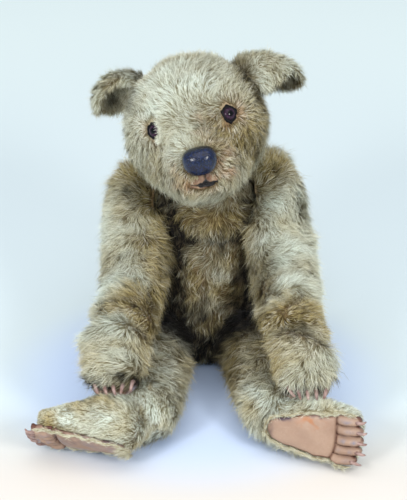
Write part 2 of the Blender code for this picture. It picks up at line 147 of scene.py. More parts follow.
def dots(a, b):
    return (a * b).sum(-1, keepdims=True)


def waves(points, across, seed):
    """A smooth noise of about -1 to 1, with features of about that size."""
    rng, count = np.random.default_rng(seed), 9
    ways = unit(rng.normal(size=(count, 3))) * (math.pi / across * rng.uniform(0.6, 1.5, (count, 1)))
    return np.sin(points @ ways.T + rng.uniform(0, math.tau, count)).sum(-1) / math.sqrt(count * 0.75)


def blob(points, centre, size, edge=1.0):
    """1 at a centre, falling smoothly to 0 at about that distance. Size may be one number or three."""
    d = (points - np.array(centre)) / np.array(size)
    return np.exp(-((d ** 2).sum(-1) ** edge) * 1.6)


def ridge(value, middle, wide):
    """1 at a middle value, falling off to both sides of it in a bell."""
    return np.exp(-((value - middle) / wide) ** 2)


def smooth(value, low, high):
    """0 up to a low value, 1 from a high one, and a soft step between them."""
    t = np.clip((value - low) / (high - low), 0, 1)
    return t * t * (3 - 2 * t)


# ---------------------------------------------------------------- objects
def new_object(name, mesh, material=None):
    obj = bpy.data.objects.new(name, mesh)
    bpy.context.scene.collection.objects.link(obj)
    if material is not None:
        obj.data.materials.append(material)
    return obj


def apply_modifiers(obj):
    """Swaps an object's mesh for the one its modifiers make."""
    graph = bpy.context.evaluated_depsgraph_get()
    mesh = bpy.data.meshes.new_from_object(obj.evaluated_get(graph), depsgraph=graph)
    obj.modifiers.clear()
    obj.data = mesh


def coordinates(mesh):
    found = np.empty(len(mesh.vertices) * 3, np.float32)
    mesh.vertices.foreach_get("co", found)
    return found.reshape(-1, 3).astype(float)


def vertex_normals(mesh):
    found = np.empty(len(mesh.vertices) * 3, np.float32)
    mesh.vertex_normals.foreach_get("vector", found)
    return found.reshape(-1, 3).astype(float)


def triangles(mesh):
    mesh.calc_loop_triangles()
    found = np.empty(len(mesh.loop_triangles) * 3, np.int32)
    mesh.loop_triangles.foreach_get("vertices", found)
    return found.reshape(-1, 3)


def place(mesh, points):
    mesh.vertices.foreach_set("co", np.asarray(points, np.float32).ravel())
    mesh.update()


def attribute(mesh, name, values):
    """A number or a vector on each vertex, for a material to read."""
    values = np.asarray(values, np.float32)
    kind = "FLOAT_VECTOR" if values.ndim == 2 else "FLOAT"
    made = mesh.attributes.new(name, kind, "POINT")
    made.data.foreach_set("vector" if values.ndim == 2 else "value", values.ravel())


def smooth_mesh(name, points, faces):
    """A smooth-shaded closed mesh, its faces turned to look outwards."""
    mesh = bpy.data.meshes.new(name)
    mesh.from_pydata(points.tolist(), [], faces)
    bm = bmesh.new()
    bm.from_mesh(mesh)
    face_outwards(bm, mesh)
    return mesh


def face_outwards(bm, mesh):
    """Writes a bmesh to a mesh, smooth-shaded, its faces turned to look outwards."""
    bmesh.ops.recalc_face_normals(bm, faces=bm.faces)
    bm.to_mesh(mesh)
    bm.free()
    mesh.shade_smooth()


def walls_of(meshes):
    """All the meshes' triangles in one search tree, which finds what a ray meets."""
    points, faces, offset = [], [], 0
    for mesh in meshes:
        points.append(coordinates(mesh))
        faces.append(triangles(mesh) + offset)
        offset += len(points[-1])
    return BVHTree.FromPolygons(np.concatenate(points).tolist(), np.concatenate(faces).tolist())


def grid_faces(rows, columns, wrap=False):
    """Quads over a grid of vertices in rows."""
    across = columns if wrap else columns - 1
    r, c = np.meshgrid(np.arange(rows - 1), np.arange(across), indexing="ij")
    r, c = r.ravel(), c.ravel()
    n = (c + 1) % columns
    return np.stack([r * columns + c, r * columns + n, (r + 1) * columns + n, (r + 1) * columns + c], 1)


# ---------------------------------------------------------------- materials
class Look:
    """A material made of nodes: each call adds one and returns its first output."""

    def __init__(self, name, roughness=0.6, **sockets):
        self.material = bpy.data.materials.new(name)
        self.material.use_nodes = True
        self.tree = self.material.node_tree
        self.shader = next(n for n in self.tree.nodes if n.type == "BSDF_PRINCIPLED")
        self.shader.inputs["Roughness"].default_value = roughness
        for key, value in sockets.items():
            self.shader.inputs[key.replace("_", " ")].default_value = value

    def put(self, kind, settings=None, **inputs):
        """Adds a node. An input is given by its name, or by _0, _1 and so on for its place."""
        node = self.tree.nodes.new("ShaderNode" + kind)
        for key, value in (settings or {}).items():
            setattr(node, key, value)
        for key, value in inputs.items():
            key = key.replace("_", " ")
            socket = node.inputs[int(key[1:])] if key[1:].isdigit() else node.inputs[key]
            self.feed(socket, value)
        return node

    def feed(self, socket, value):
        if isinstance(value, bpy.types.NodeSocket):
            self.tree.links.new(value, socket)
        elif isinstance(value, (tuple, list)) and len(value) == 3 and socket.type == "RGBA":
            socket.default_value = (*value, 1)
        else:
            socket.default_value = value

    def set(self, name, value):
        """Sets or links one input of the shader, and returns the look for the next one."""
        self.feed(self.shader.inputs[name], value)
        return self

    def read(self, name, part="Fac"):
        return self.put("Attribute", {"attribute_name": name}).outputs[part]

    def where(self):
        return self.put("TexCoord").outputs["Object"]

    def noise(self, scale, detail=3.0, roughness=0.55):
        return self.put("TexNoise", None, Vector=self.where(), Scale=scale, Detail=detail,
                        Roughness=roughness).outputs["Fac"]

    def cells(self, scale, feature="DISTANCE_TO_EDGE", vector=None):
        node = self.put("TexVoronoi", {"feature": feature}, Vector=vector or self.where(), Scale=scale)
        return node.outputs["Distance"]

    def span(self, value, low, high, new_low=0.0, new_high=1.0):
        """A soft step from the new low, at a low value, to the new high, at a high one."""
        return self.put("MapRange", {"interpolation_type": "SMOOTHSTEP"}, Value=value, From_Min=low,
                        From_Max=high, To_Min=new_low, To_Max=new_high).outputs["Result"]

    def maths(self, operation, a, b):
        return self.put("Math", {"operation": operation}, _0=a, _1=b).outputs[0]

    def times(self, a, b):
        return self.maths("MULTIPLY", a, b)

    def wave(self, bands, scale, distortion, detail):
        return self.put("TexWave", {"bands_direction": bands}, Vector=self.where(), Scale=scale,
                        Distortion=distortion, Detail=detail).outputs["Fac"]

    def mix(self, share, a, b, blend="MIX"):
        node = self.put("Mix", {"data_type": "RGBA", "blend_type": blend}, _0=share, _6=a, _7=b)
        return node.outputs[2]

    def bump(self, height, strength, distance):
        return self.put("Bump", None, Height=height, Strength=strength, Distance=distance).outputs["Normal"]


def colour(red, green, blue):
    """A colour of 0 to 255 as a screen shows it, as the light it stands for."""
    return tuple(((c / 255 + 0.055) / 1.055) ** 2.4 if c > 10 else c / 255 / 12.92
                 for c in (red, green, blue))


def fur_look():
    """Pile: silky, golden-brown low down, weathered at the tip, with four coats that the vertices mix; the
    dark coat is partly dark-brown pile and partly painted shade.
    """
    look = Look("mohair", 0.62, Sheen_Weight=0.08, Sheen_Roughness=0.35, Specular_IOR_Level=0.25)
    along, pick = look.read("along"), look.read("pick")
    warm, dark, red = look.put("SeparateXYZ", None, Vector=look.read("coat", "Vector")).outputs
    yellow = look.read("yellow")
    tip = look.mix(warm, colour(232, 241, 230), colour(168, 152, 100))
    tip = look.mix(yellow, tip, colour(196, 177, 118))
    tip = look.mix(red, tip, colour(184, 134, 98))
    # The dark coat mixes towards near-black: dark-brown pile, and shade painted into creases, folds, the lap
    # and the undersides.
    tip = look.mix(dark, tip, colour(16, 12, 8))
    root = look.mix(warm, colour(176, 168, 132), colour(106, 86, 46))
    root = look.mix(yellow, root, colour(140, 116, 64))
    root = look.mix(red, root, colour(128, 80, 52))
    root = look.mix(dark, root, colour(11, 9, 6))
    fade = look.span(along, 0.0, 0.62)
    hair = look.mix(fade, root, tip)
    bleached = look.span(pick, 0.80, 0.97, 0.0, 0.40)
    lit = look.times(fade, look.span(dark, 0.0, 0.9, 1.0, 0.0))
    lit = look.times(lit, look.span(warm, 0.3, 0.9, 0.85, 1.5))
    hair = look.mix(look.times(bleached, lit), hair, colour(246, 246, 236))
    under = look.span(pick, 0.42, 0.60, 1.0, 0.0)
    below = look.mix(warm, (0.68, 0.64, 0.52), (0.36, 0.30, 0.20))
    hair = look.mix(under, hair, look.mix(1.0, hair, below, "MULTIPLY"))
    shade = look.span(pick, 0.0, 0.42, 0.74, 1.0)
    grey = look.put("CombineColor", None, Red=shade, Green=shade, Blue=shade).outputs[0]
    hair = look.mix(1.0, hair, grey, "MULTIPLY")
    drift = look.span(look.noise(75.0, 2.0), 0.35, 0.7, 0.0, 0.22)
    drift = look.times(drift, look.span(dark, 0.0, 0.9, 1.0, 0.0))
    hair = look.mix(drift, hair, look.mix(0.4, hair, colour(168, 152, 108)))
    look.set("Base Color", hair)
    return look.material


def cloth_look():
    """The backing cloth that the pile grows from: a plain weave, faded where the pile on it is."""
    look = Look("backing_cloth", 0.9, Sheen_Weight=0.2)
    weave = look.times(look.wave("X", 420.0, 0.6, 1.0), look.wave("Z", 420.0, 0.6, 1.0))
    warm, dark, red = look.put("SeparateXYZ", None, Vector=look.read("coat", "Vector")).outputs
    base = look.mix(warm, colour(186, 178, 148), colour(122, 98, 60))
    base = look.mix(red, base, colour(168, 122, 92))
    # Darker where the pile's dark coat is: partly dark cloth, partly painted shade in the creases, folds and
    # lap.
    base = look.mix(dark, base, colour(36, 28, 18))
    stain = look.span(look.noise(38.0, 4.0), 0.3, 0.7, 0.0, 0.35)
    base = look.mix(stain, base, colour(96, 76, 46))
    base = look.mix(look.span(weave, 0.2, 0.8, 0.0, 0.20), base, colour(190, 174, 136))
    look.set("Base Color", base).set("Normal", look.bump(weave, 0.5, 0.0004))
    return look.material


def edge_look():
    """The cloth's raw edge round a sole: cream, rolled and grubby."""
    look = Look("raw_edge", 0.85, Sheen_Weight=0.2)
    stain = look.span(look.noise(120.0, 4.0), 0.35, 0.65)
    thread = look.wave("DIAGONAL", 500.0, 2.0, 2.0)
    look.set("Base Color", look.mix(stain, colour(206, 196, 162), colour(140, 118, 84)))
    look.set("Normal", look.bump(thread, 0.6, 0.0004))
    return look.material


def rubber_look(name, base, dirt, worn, solid=0.35, crazed=1.0, mottled=0.55, shine=0.4):
    """Old moulded rubber: mottled and crazed, with rust, dirt and stains, with a dark mix that on the soles
    is also painted shade, and with paint or wear in the worn colour, which is the more solid the nearer to 1
    it says."""
    look = Look(name, 0.5, Specular_IOR_Level=shine)
    mottle = look.span(look.noise(60.0, 5.0, 0.65), 0.32, 0.72)
    tone = look.mix(look.times(mottle, mottled), base, dirt)
    fine = look.span(look.noise(420.0, 3.0, 0.7), 0.45, 0.75, 0.0, 0.30 * mottled)
    tone = look.mix(fine, tone, look.mix(0.5, base, (1, 0.9, 0.8)))
    bend = look.put("TexNoise", None, Vector=look.where(), Scale=90.0).outputs["Color"]
    bend = look.put("VectorMath", {"operation": "SCALE"}, _0=bend, Scale=0.006).outputs[0]
    warped = look.put("VectorMath", {"operation": "ADD"}, _0=look.where(), _1=bend).outputs[0]
    crack = look.span(look.cells(105.0, vector=warped), 0.0, 0.045, 1.0, 0.0)
    broken = look.span(look.noise(46.0, 2.0), 0.52, 0.66)
    crack = look.times(crack, look.times(broken, crazed))
    tone = look.mix(look.read("rust"), tone, colour(174, 116, 76))
    # This dark mix is dirt and the dark of cracks, and on the soles also shade painted into grooves, under
    # the toes and at the edges.
    grime_and_shade = look.read("grime_and_shade")
    grime_and_shade = look.maths("MAXIMUM", look.times(crack, 0.75), grime_and_shade)
    tone = look.mix(grime_and_shade, tone, colour(92, 52, 38))
    patchy = look.times(look.read("grey"), look.span(look.noise(330.0, 3.0), 0.25, 0.55, solid, 1.0))
    tone = look.mix(patchy, tone, worn)
    tone = look.mix(look.read("stain"), tone, colour(64, 50, 66))
    height = look.maths("SUBTRACT", look.noise(260.0, 4.0), look.times(crack, 2.0))
    look.set("Base Color", tone).set("Normal", look.bump(height, 0.6 * mottled, 0.0005))
    look.set("Roughness", look.span(mottle, 0, 1, 0.42, 0.62))
    return look.material


def nose_look():
    """Navy-black enamel over rubber, glossy and finely pimpled, with worn specks, and with shade painted
    towards its rim.
    """
    look = Look("nose_enamel", 0.3, Specular_IOR_Level=0.30, Coat_Weight=0.26, Coat_Roughness=0.16)
    pimple = look.maths("ADD", look.cells(520.0, "F1"), look.span(look.cells(230.0), 0.0, 0.06, 0.0, 0.7))
    tone = look.mix(look.span(look.noise(420.0, 3.0), 0.35, 0.7), colour(7, 15, 36), colour(14, 30, 66))
    crackle = look.span(look.cells(260.0), 0.0, 0.05, 1.0, 0.0)
    crackle = look.times(crackle, look.span(look.noise(90.0, 2.0), 0.42, 0.60))
    tone = look.mix(look.times(crackle, 0.55), tone, colour(4, 6, 14))
    # Painted shade: darker towards the rim of the nose, as it is seen from the front.
    tone = look.mix(look.times(look.read("edge"), 0.9), tone, colour(4, 6, 12))
    speck = look.span(look.noise(620.0, 2.0), 0.60, 0.70, 0.0, 0.4)
    tone = look.mix(look.times(speck, 0.6), tone, colour(92, 98, 128))
    look.set("Base Color", tone).set("Normal", look.bump(pimple, 0.34, 0.0003))
    look.set("Roughness", look.span(look.noise(300.0), 0.3, 0.7, 0.20, 0.27))
    return look.material


def glass_look():
    """A dark eye: brown-purple glass with a black pupil."""
    look = Look("eye_glass", 0.05, Specular_IOR_Level=0.24)
    ring = look.read("ring")
    cloudy = look.span(look.noise(500.0, 3.0), 0.3, 0.7)
    iris = look.mix(cloudy, colour(26, 13, 26), colour(60, 34, 56))
    look.set("Base Color", look.mix(look.span(ring, 0.42, 0.52), colour(4, 3, 5), iris))
    return look.material


def wire_look():
    look = Look("wire", 0.35, Metallic=1.0)
    dull = look.noise(300.0, 4.0)
    look.set("Base Color", look.mix(dull, colour(120, 116, 110), colour(178, 176, 170)))
    look.set("Roughness", look.span(dull, 0.3, 0.7, 0.3, 0.5))
    return look.material


FUR, CLOTH, EDGE = fur_look(), cloth_look(), edge_look()
RUBBER = rubber_look("sole_rubber", colour(170, 142, 122), colour(138, 106, 86), colour(128, 122, 130),
                     crazed=0.10, mottled=0.24)
FACE_RUBBER = rubber_look("face_rubber", colour(146, 120, 92), colour(116, 88, 62), colour(7, 6, 10), 0.96)
RIM_RUBBER = rubber_look("rim_rubber", colour(120, 96, 74), colour(90, 66, 48), colour(5, 4, 8), 0.97,
                         shine=0.15)
CLAW_RUBBER = rubber_look("claw_rubber", colour(172, 144, 136), colour(126, 96, 90), colour(124, 116, 116),
                          crazed=0.0)
NOSE_PAINT, GLASS, WIRE = nose_look(), glass_look(), wire_look()


# ---------------------------------------------------------------- stuffed forms
def catmull(stations, count):
    """Rows spaced evenly along a smooth curve through the stations."""
    points = np.array(stations, float)
    points = np.vstack([2 * points[0] - points[1], points, 2 * points[-1] - points[-2]])
    at = np.linspace(0, len(stations) - 1, count)
    first = np.minimum(at.astype(int), len(stations) - 2)
    t = (at - first)[:, None]
    a, b, c, d = (points[first + k] for k in range(4))
    return 0.5 * (2 * b + (c - a) * t + (2 * a - 5 * b + 4 * c - d) * t ** 2
                  + (3 * b - a - 3 * c + d) * t ** 3)


FOOT = [
    (0.000, 0.0040, 0.0, 0.030, 0.027), (0.020, 0.0020, 0.0, 0.031, 0.031),
    (0.044, -0.0040, 0.0, 0.026, 0.032), (0.066, -0.0080, 0.0, 0.0205, 0.032),
    (0.0835, -0.0105, 0.0, 0.016, 0.030),
]


def foot_plug(side):
    """A foot's whole form a little undersize, which closes the hollow that the sole lies in."""
    rows = catmull(FOOT, 12)
    rows[:, 3:] -= 0.0008
    steps = np.array([0.93, 0.74, 0.40])
    first = [[rows[0, 0] - 0.022 * s, rows[0, 1], 0, rows[0, 3] * c, rows[0, 4] * c]
             for s, c in zip(steps, np.sqrt(1 - steps ** 2))]
    last = [[rows[-1, 0] + 0.0067 * s, rows[-1, 1], 0, rows[-1, 3] * c, rows[-1, 4] * c]
            for s, c in zip(steps[::-1], np.sqrt(1 - steps[::-1] ** 2))]
    rows = np.vstack([first, rows, last])
    around = 24
    turns = np.linspace(0, math.tau, around, endpoint=False)
    ring = np.stack([np.zeros(around), np.cos(turns), np.sin(turns)], 1)
    points = rows[:, None, :3] + ring[None] * rows[:, None, [0, 3, 4]]
    points[..., 1] = np.maximum(points[..., 1], -SOLE + 0.0008)
    points = out_of(foot_frame(side), points.reshape(-1, 3))
    points[:, 2] = np.maximum(points[:, 2], 0.0006)
    mesh = bpy.data.meshes.new("foot plug")
    caps = [tuple(range(around)), tuple(range(len(points) - around, len(points)))]
    mesh.from_pydata(points.tolist(), [], grid_faces(len(rows), around, True).tolist() + caps)
    return mesh


def ellipsoid(centre, half, matrix=None, segments=32, rings=20):
    bm = bmesh.new()
    bmesh.ops.create_uvsphere(bm, u_segments=segments, v_segments=rings, radius=1.0)
    bm.transform((matrix or Matrix()) @ Matrix.Translation(centre) @ Matrix.Diagonal((*half, 1)))
    mesh = bpy.data.meshes.new("ellipsoid")
    bm.to_mesh(mesh)
    bm.free()
    return mesh


def solid_of(name, nodes, extra, voxel, soften):
    """The nodes and any extra closed meshes as one even-faced closed form."""
    bm = bmesh.new()
    for mesh in [NODES[n].data for n in nodes] + extra:
        bm.from_mesh(mesh)
    mesh = bpy.data.meshes.new(name)
    bm.to_mesh(mesh)
    bm.free()
    obj = new_object(name, mesh)
    remesh = obj.modifiers.new("even faces", "REMESH")
    remesh.mode, remesh.voxel_size = "VOXEL", voxel
    soft = obj.modifiers.new("soften", "SMOOTH")
    soft.factor, soft.iterations = 0.5, soften
    apply_modifiers(obj)
    keep_largest(obj)
    return obj


def keep_largest(obj):
    """Leaves only the biggest connected body of a mesh."""
    bm = bmesh.new()
    bm.from_mesh(obj.data)
    seen, bodies = set(), []
    for vert in bm.verts:
        if vert in seen:
            continue
        seen.add(vert)
        body, to_do = [vert], [vert]
        while to_do:
            here = to_do.pop()
            for other in (edge.other_vert(here) for edge in here.link_edges):
                if other not in seen:
                    seen.add(other)
                    body.append(other)
                    to_do.append(other)
        bodies.append(body)
    keep = set(max(bodies, key=len))
    bmesh.ops.delete(bm, geom=[v for v in bm.verts if v not in keep], context="VERTS")
    bm.to_mesh(obj.data)
    bm.free()


def along_path(points, path):
    """For each point, how far along a path it lies, from 0 to 1, and its distance from it."""
    path = np.array(path, float)[:, :3]
    best, at = np.full(len(points), 1e9), np.zeros(len(points))
    length = np.concatenate([[0], np.cumsum(np.linalg.norm(np.diff(path, axis=0), axis=1))])
    for k in range(len(path) - 1):
        way = path[k + 1] - path[k]
        t = np.clip(((points - path[k]) @ way) / (way @ way), 0, 1)
        away = np.linalg.norm(points - path[k] - t[:, None] * way, axis=1)
        nearer = away < best
        best[nearer], at[nearer] = away[nearer], (length[k] + t * np.linalg.norm(way))[nearer]
    return at / length[-1], best


def plump(obj, cap):
    """Lets the stuffing push the cover out as it does in cloth, each point by at most the cap."""
    before = coordinates(obj.data)
    cloth = obj.modifiers.new("stuffing pushes", "CLOTH")
    cloth.settings.quality = 5
    cloth.settings.mass = 0.3
    cloth.settings.tension_stiffness = cloth.settings.compression_stiffness = 20
    cloth.settings.use_pressure = True
    cloth.settings.uniform_pressure_force = 4.0
    cloth.settings.effector_weights.gravity = 0.0
    cloth.collision_settings.use_collision = False
    first, last = 1, 20
    cloth.point_cache.frame_start, cloth.point_cache.frame_end = first, last
    scene = bpy.context.scene
    for step in range(first, last + 1):
        scene.frame_set(step)
    graph = bpy.context.evaluated_depsgraph_get()
    after = coordinates(obj.evaluated_get(graph).data)
    obj.modifiers.clear()
    scene.frame_set(first)
    moved = after - before
    far = np.linalg.norm(moved, axis=1, keepdims=True)
    place(obj.data, before + moved * np.minimum(1.0, cap / np.maximum(far, 1e-9)))


skins = {}


def make_skin(part, nodes, extra, inset, carve=None, voxel=0.0045, cap=0.0016, soften=6):
    """A stuffed piece's cloth, its surface as far inside the model's as the pile on it is high."""
    obj = solid_of("skin_" + part, nodes, extra, voxel, soften)
    points, normals = coordinates(obj.data), vertex_normals(obj.data)
    here = points - OFFSET
    points -= normals * (inset(here)[:, None] + cap)
    if carve is not None:
        points += normals * carve(here)[:, None]
    points[:, 2] = np.maximum(points[:, 2], 0.0012)
    place(obj.data, points)
    plump(obj, cap)
    finer = obj.modifiers.new("finer", "SUBSURF")
    finer.levels = finer.render_levels = 1
    apply_modifiers(obj)
    obj.data.shade_smooth()
    points, normals = coordinates(obj.data), vertex_normals(obj.data)
    here = points - OFFSET
    rumple = 0.0005 * waves(here, 0.012, 3) + 0.0003 * waves(here, 0.005, 4)
    points += normals * rumple[:, None]
    points[:, 2] = np.maximum(points[:, 2], FLOOR_GAP)
    place(obj.data, points)
    fewer = obj.modifiers.new("fewer faces", "DECIMATE")
    fewer.ratio = 0.45
    apply_modifiers(obj)
    obj.data.materials.clear()
    obj.data.materials.append(CLOTH)
    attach(obj, "root")
    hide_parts(*nodes)
    skins[part] = obj


# How long the pile is in each part, by place. How far the cloth lies inside the model follows from it.
def head_length(here):
    """Pile length on the head: worn short on the face, long on the crown's sides and under the chin."""
    local = into(HEAD_FRAME, here)
    long = 0.0120 + 0.0010 * waves(here, 0.03, 10)
    face = blob(local, (0, -0.100, 0.0), (0.045, 0.040, 0.045))
    eyes = sum(blob(local, (s * 0.040, -0.066, 0.032), 0.018) for s in (-1, 1))
    muzzle = blob(local, (0, -0.115, 0.0), (0.030, 0.03, 0.030))
    long *= 1 - 0.30 * face - 0.34 * np.minimum(eyes, 1) - 0.42 * muzzle
    return np.clip(long, 0.0034, None)


def limb_length(here):
    return 0.0155 + 0.0015 * waves(here, 0.03, 11)


def torso_length(here):
    """Flattened and short on the sheltered front, longer behind."""
    return 0.0105 + 0.0010 * waves(here, 0.03, 13) + 0.0040 * smooth(here[:, 1], 0.0, 0.05)


def arm_length(side, here):
    """Worn away in the fold at the wrist."""
    fold, above, _ = wrist_fold(side, here)
    return limb_length(here) * (1 - 0.45 * fold - 0.46 * above)


def leg_length(here):
    """Shorter on the worn tops and rims of the feet."""
    long = 0.0145 + 0.0012 * waves(here, 0.03, 12)
    for side in FEET:
        local = in_foot(side, here)
        toe = smooth(local[:, 0], 0.015, 0.055)
        near = (np.abs(local[:, 2]) < 0.05) & (local[:, 1] < 0.04)
        end = smooth(local[:, 0], 0.060, 0.078)
        long = np.where(near, long * (1 - 0.52 * toe - 0.08 * end), long)
        rim = smooth(local[:, 1], -0.010, -0.020) * near
        long = long * (1 - 0.35 * rim * (1 - toe))
    return long


def ear_length(here):
    """Longer in the right ear, where it fills the fold's upper half."""
    local = into(ear_frame("right"), here + OFFSET)
    return 0.0100 + 0.0080 * blob(local, (0.004, 0.012, 0.014), (0.014, 0.014, 0.014))


STAND = 0.31             # how high the lying pile stands, as a share of its length


def inset_of(length):
    return lambda here: STAND * length(here)


def leg_inset(here):
    """The pile's height, and next to nothing on the sole, where rubber lies on the cloth."""
    depth = STAND * leg_length(here)
    for side in FEET:
        local = in_foot(side, here)
        sole = (smooth(local[:, 1], -0.0170, -0.0215) * smooth(local[:, 0], -0.022, -0.012)
                * (local[:, 1] > -0.03) * (np.abs(local[:, 2]) < 0.034))
        depth = depth * (1 - 0.6 * sole)
    return depth


WRIST = {"right": (0.800, 0.0), "left": (0.832, 1.2)}    # how far along the arm its fold is, and its slant


def wrist_fold(side, here, past=0.0):
    """How near each point is to the fold across the wrist, to the bulge above it and to the paw's top."""
    at, _ = along_path(here, ARMS[side])
    wrist, slant = WRIST[side]
    away = at - wrist - (here[:, 0] - ARMS[side][5][0]) * slant - past
    top = smooth(here[:, 2], 0.078, 0.104)
    bands = (0, 0.017), (-0.050, 0.036), (0.065, 0.040)
    return tuple(top * ridge(away, middle, wide) for middle, wide in bands)


def arm_carve(side, here):
    """The fold across each wrist, the bulge above it and the paw's own swelling."""
    fold, above, below = wrist_fold(side, here)
    return -0.0185 * fold + 0.0042 * above + 0.0046 * below


def torso_carve(here):
    """Folds across the chest under the chin, and where the body slumps over the hips."""
    front = smooth(-here[:, 1], 0.02, 0.05)
    dip = 0.0035 * here[:, 0] / 0.05 + 0.0012 * waves(here, 0.022, 14)
    upper = ridge(here[:, 2] - 0.1495, dip, 0.0042)
    roll = ridge(here[:, 2] - 0.1700, 1.5 * dip, 0.0080)
    return front * (-0.0055 * upper + 0.0045 * roll)


def leg_carve(side, here):
    """A soft fold where the foot turns up from the shin, and the toes' rounded-off top."""
    local = in_foot(side, here)
    fold = ridge(local[:, 0], 0.006, 0.006) * smooth(local[:, 1], 0.012, 0.022)
    end = smooth(local[:, 0], 0.064, 0.084) * smooth(local[:, 1], -0.004, 0.012) * (local[:, 1] < 0.05)
    return (-0.0018 if side == "left" else 0.0) * fold * (np.abs(local[:, 2]) < 0.04) - 0.0032 * end


make_skin("head", ["head_cover", "head_stuffing"],
          [*(NODES[n].data for n in ("face_mask", "eye_left", "eye_right")),
           ellipsoid((0, -0.060, -0.004), (0.034, 0.047, 0.033), HEAD_PLACE)],
          inset_of(head_length))
make_skin("torso", ["torso_cover", "torso_stuffing"], [], inset_of(torso_length), torso_carve)
for side in SIDES:
    x, y, z, _, high = ARMS[side][-1]
    plug = ellipsoid((x, y + 0.010, z - high + 0.0075), (0.027, 0.028, 0.007), SHIFTED)
    make_skin("arm_" + side, ["arm_cover_" + side, "arm_stuffing_" + side], [plug],
              inset_of(limb_length), partial(arm_carve, side))
    make_skin("leg_" + side, ["leg_cover_" + side, "leg_stuffing_" + side], [foot_plug(side)],
              leg_inset, partial(leg_carve, side))
    make_skin("ear_" + side, ["ear_" + side], [], lambda here: np.full(len(here), 0.0024), None,
              0.0022, 0.0004, 5)


# ---------------------------------------------------------------- pile
WALLS = walls_of(skin.data for skin in skins.values())


def room_over(roots, normals):
    """How far each root's pile can stand up before it meets another surface."""
    far, found = 0.02, np.empty(len(roots))
    starts = roots + normals * 0.0008
    for k, (start, way) in enumerate(zip(starts.tolist(), normals.tolist())):
        hit = WALLS.ray_cast(start, way, far)[3]
        found[k] = far if hit is None else hit
    return found


VIEW_FALL = 25.8                     # how far the camera looks down, in degrees
VIEW_UP = np.array((0.0, 0.435, 0.900))          # what is up in the picture, for a camera like that


def combed(here, normals, guides):
    """The direction that the pile lies in, from (x, y, z, degrees) guides: 0 is to the bear's left, 90 up."""
    spots = np.array([g[:3] for g in guides], float)
    angles = np.radians([g[3] for g in guides])
    ways = np.cos(angles)[:, None] * np.array((1.0, 0, 0)) + np.sin(angles)[:, None] * VIEW_UP
    gap = ((here[:, None] - spots[None]) ** 2).sum(-1)
    weight = 1 / (gap + 0.009 ** 2) ** 2
    way = unit((weight[..., None] * ways[None]).sum(1) / weight.sum(1, keepdims=True))
    flat = way - dots(way, normals) * normals
    weak = smooth(np.linalg.norm(flat, axis=1), 0.05, 0.25)[:, None]
    down = np.array((0.0, -0.15, -1.0))
    spare = down - dots(down, normals) * normals
    return unit(flat * weak + spare * (1 - weak) * 0.5)


def turned_about(ways, normals, angle):
    """Directions turned about the surface's normals, each by its own angle."""
    side = np.cross(normals, ways)
    return ways * np.cos(angle)[:, None] + side * np.sin(angle)[:, None]


LEAN = 57.0, 80.0                    # how far a blade's lower and upper half lean over, in degrees
LOCK, MESS, CLUMP = 0.0140, 0.85, 0.36


def scatter(mesh, count, density, rng):
    """Random roots on a mesh with their normals and the room over each, and the area that they share."""
    verts, norms, tris = coordinates(mesh), vertex_normals(mesh), triangles(mesh)
    a, b, c = (verts[tris[:, k]] for k in range(3))
    area = 0.5 * np.linalg.norm(np.cross(b - a, c - a), axis=1)
    middle = (a + b + c) / 3 - OFFSET
    if density is not None:
        area = area * density(middle, unit(norms[tris].mean(1)))
    share = np.cumsum(area)
    face = np.searchsorted(share, rng.random(count) * share[-1])
    u, v = rng.random((2, count))
    over = u + v > 1
    u, v = np.where(over, 1 - u, u)[:, None], np.where(over, 1 - v, v)[:, None]
    w = 1 - u - v
    roots = a[face] * w + b[face] * u + c[face] * v
    n0, n1, n2 = (norms[tris[face, k]] for k in range(3))
    normals = unit(n0 * w + n1 * u + n2 * v)
    room = room_over(roots, normals)
    keep = (room > 0.0022) & (roots[:, 2] > 0.0008)
    return roots[keep], normals[keep], room[keep], area.sum()


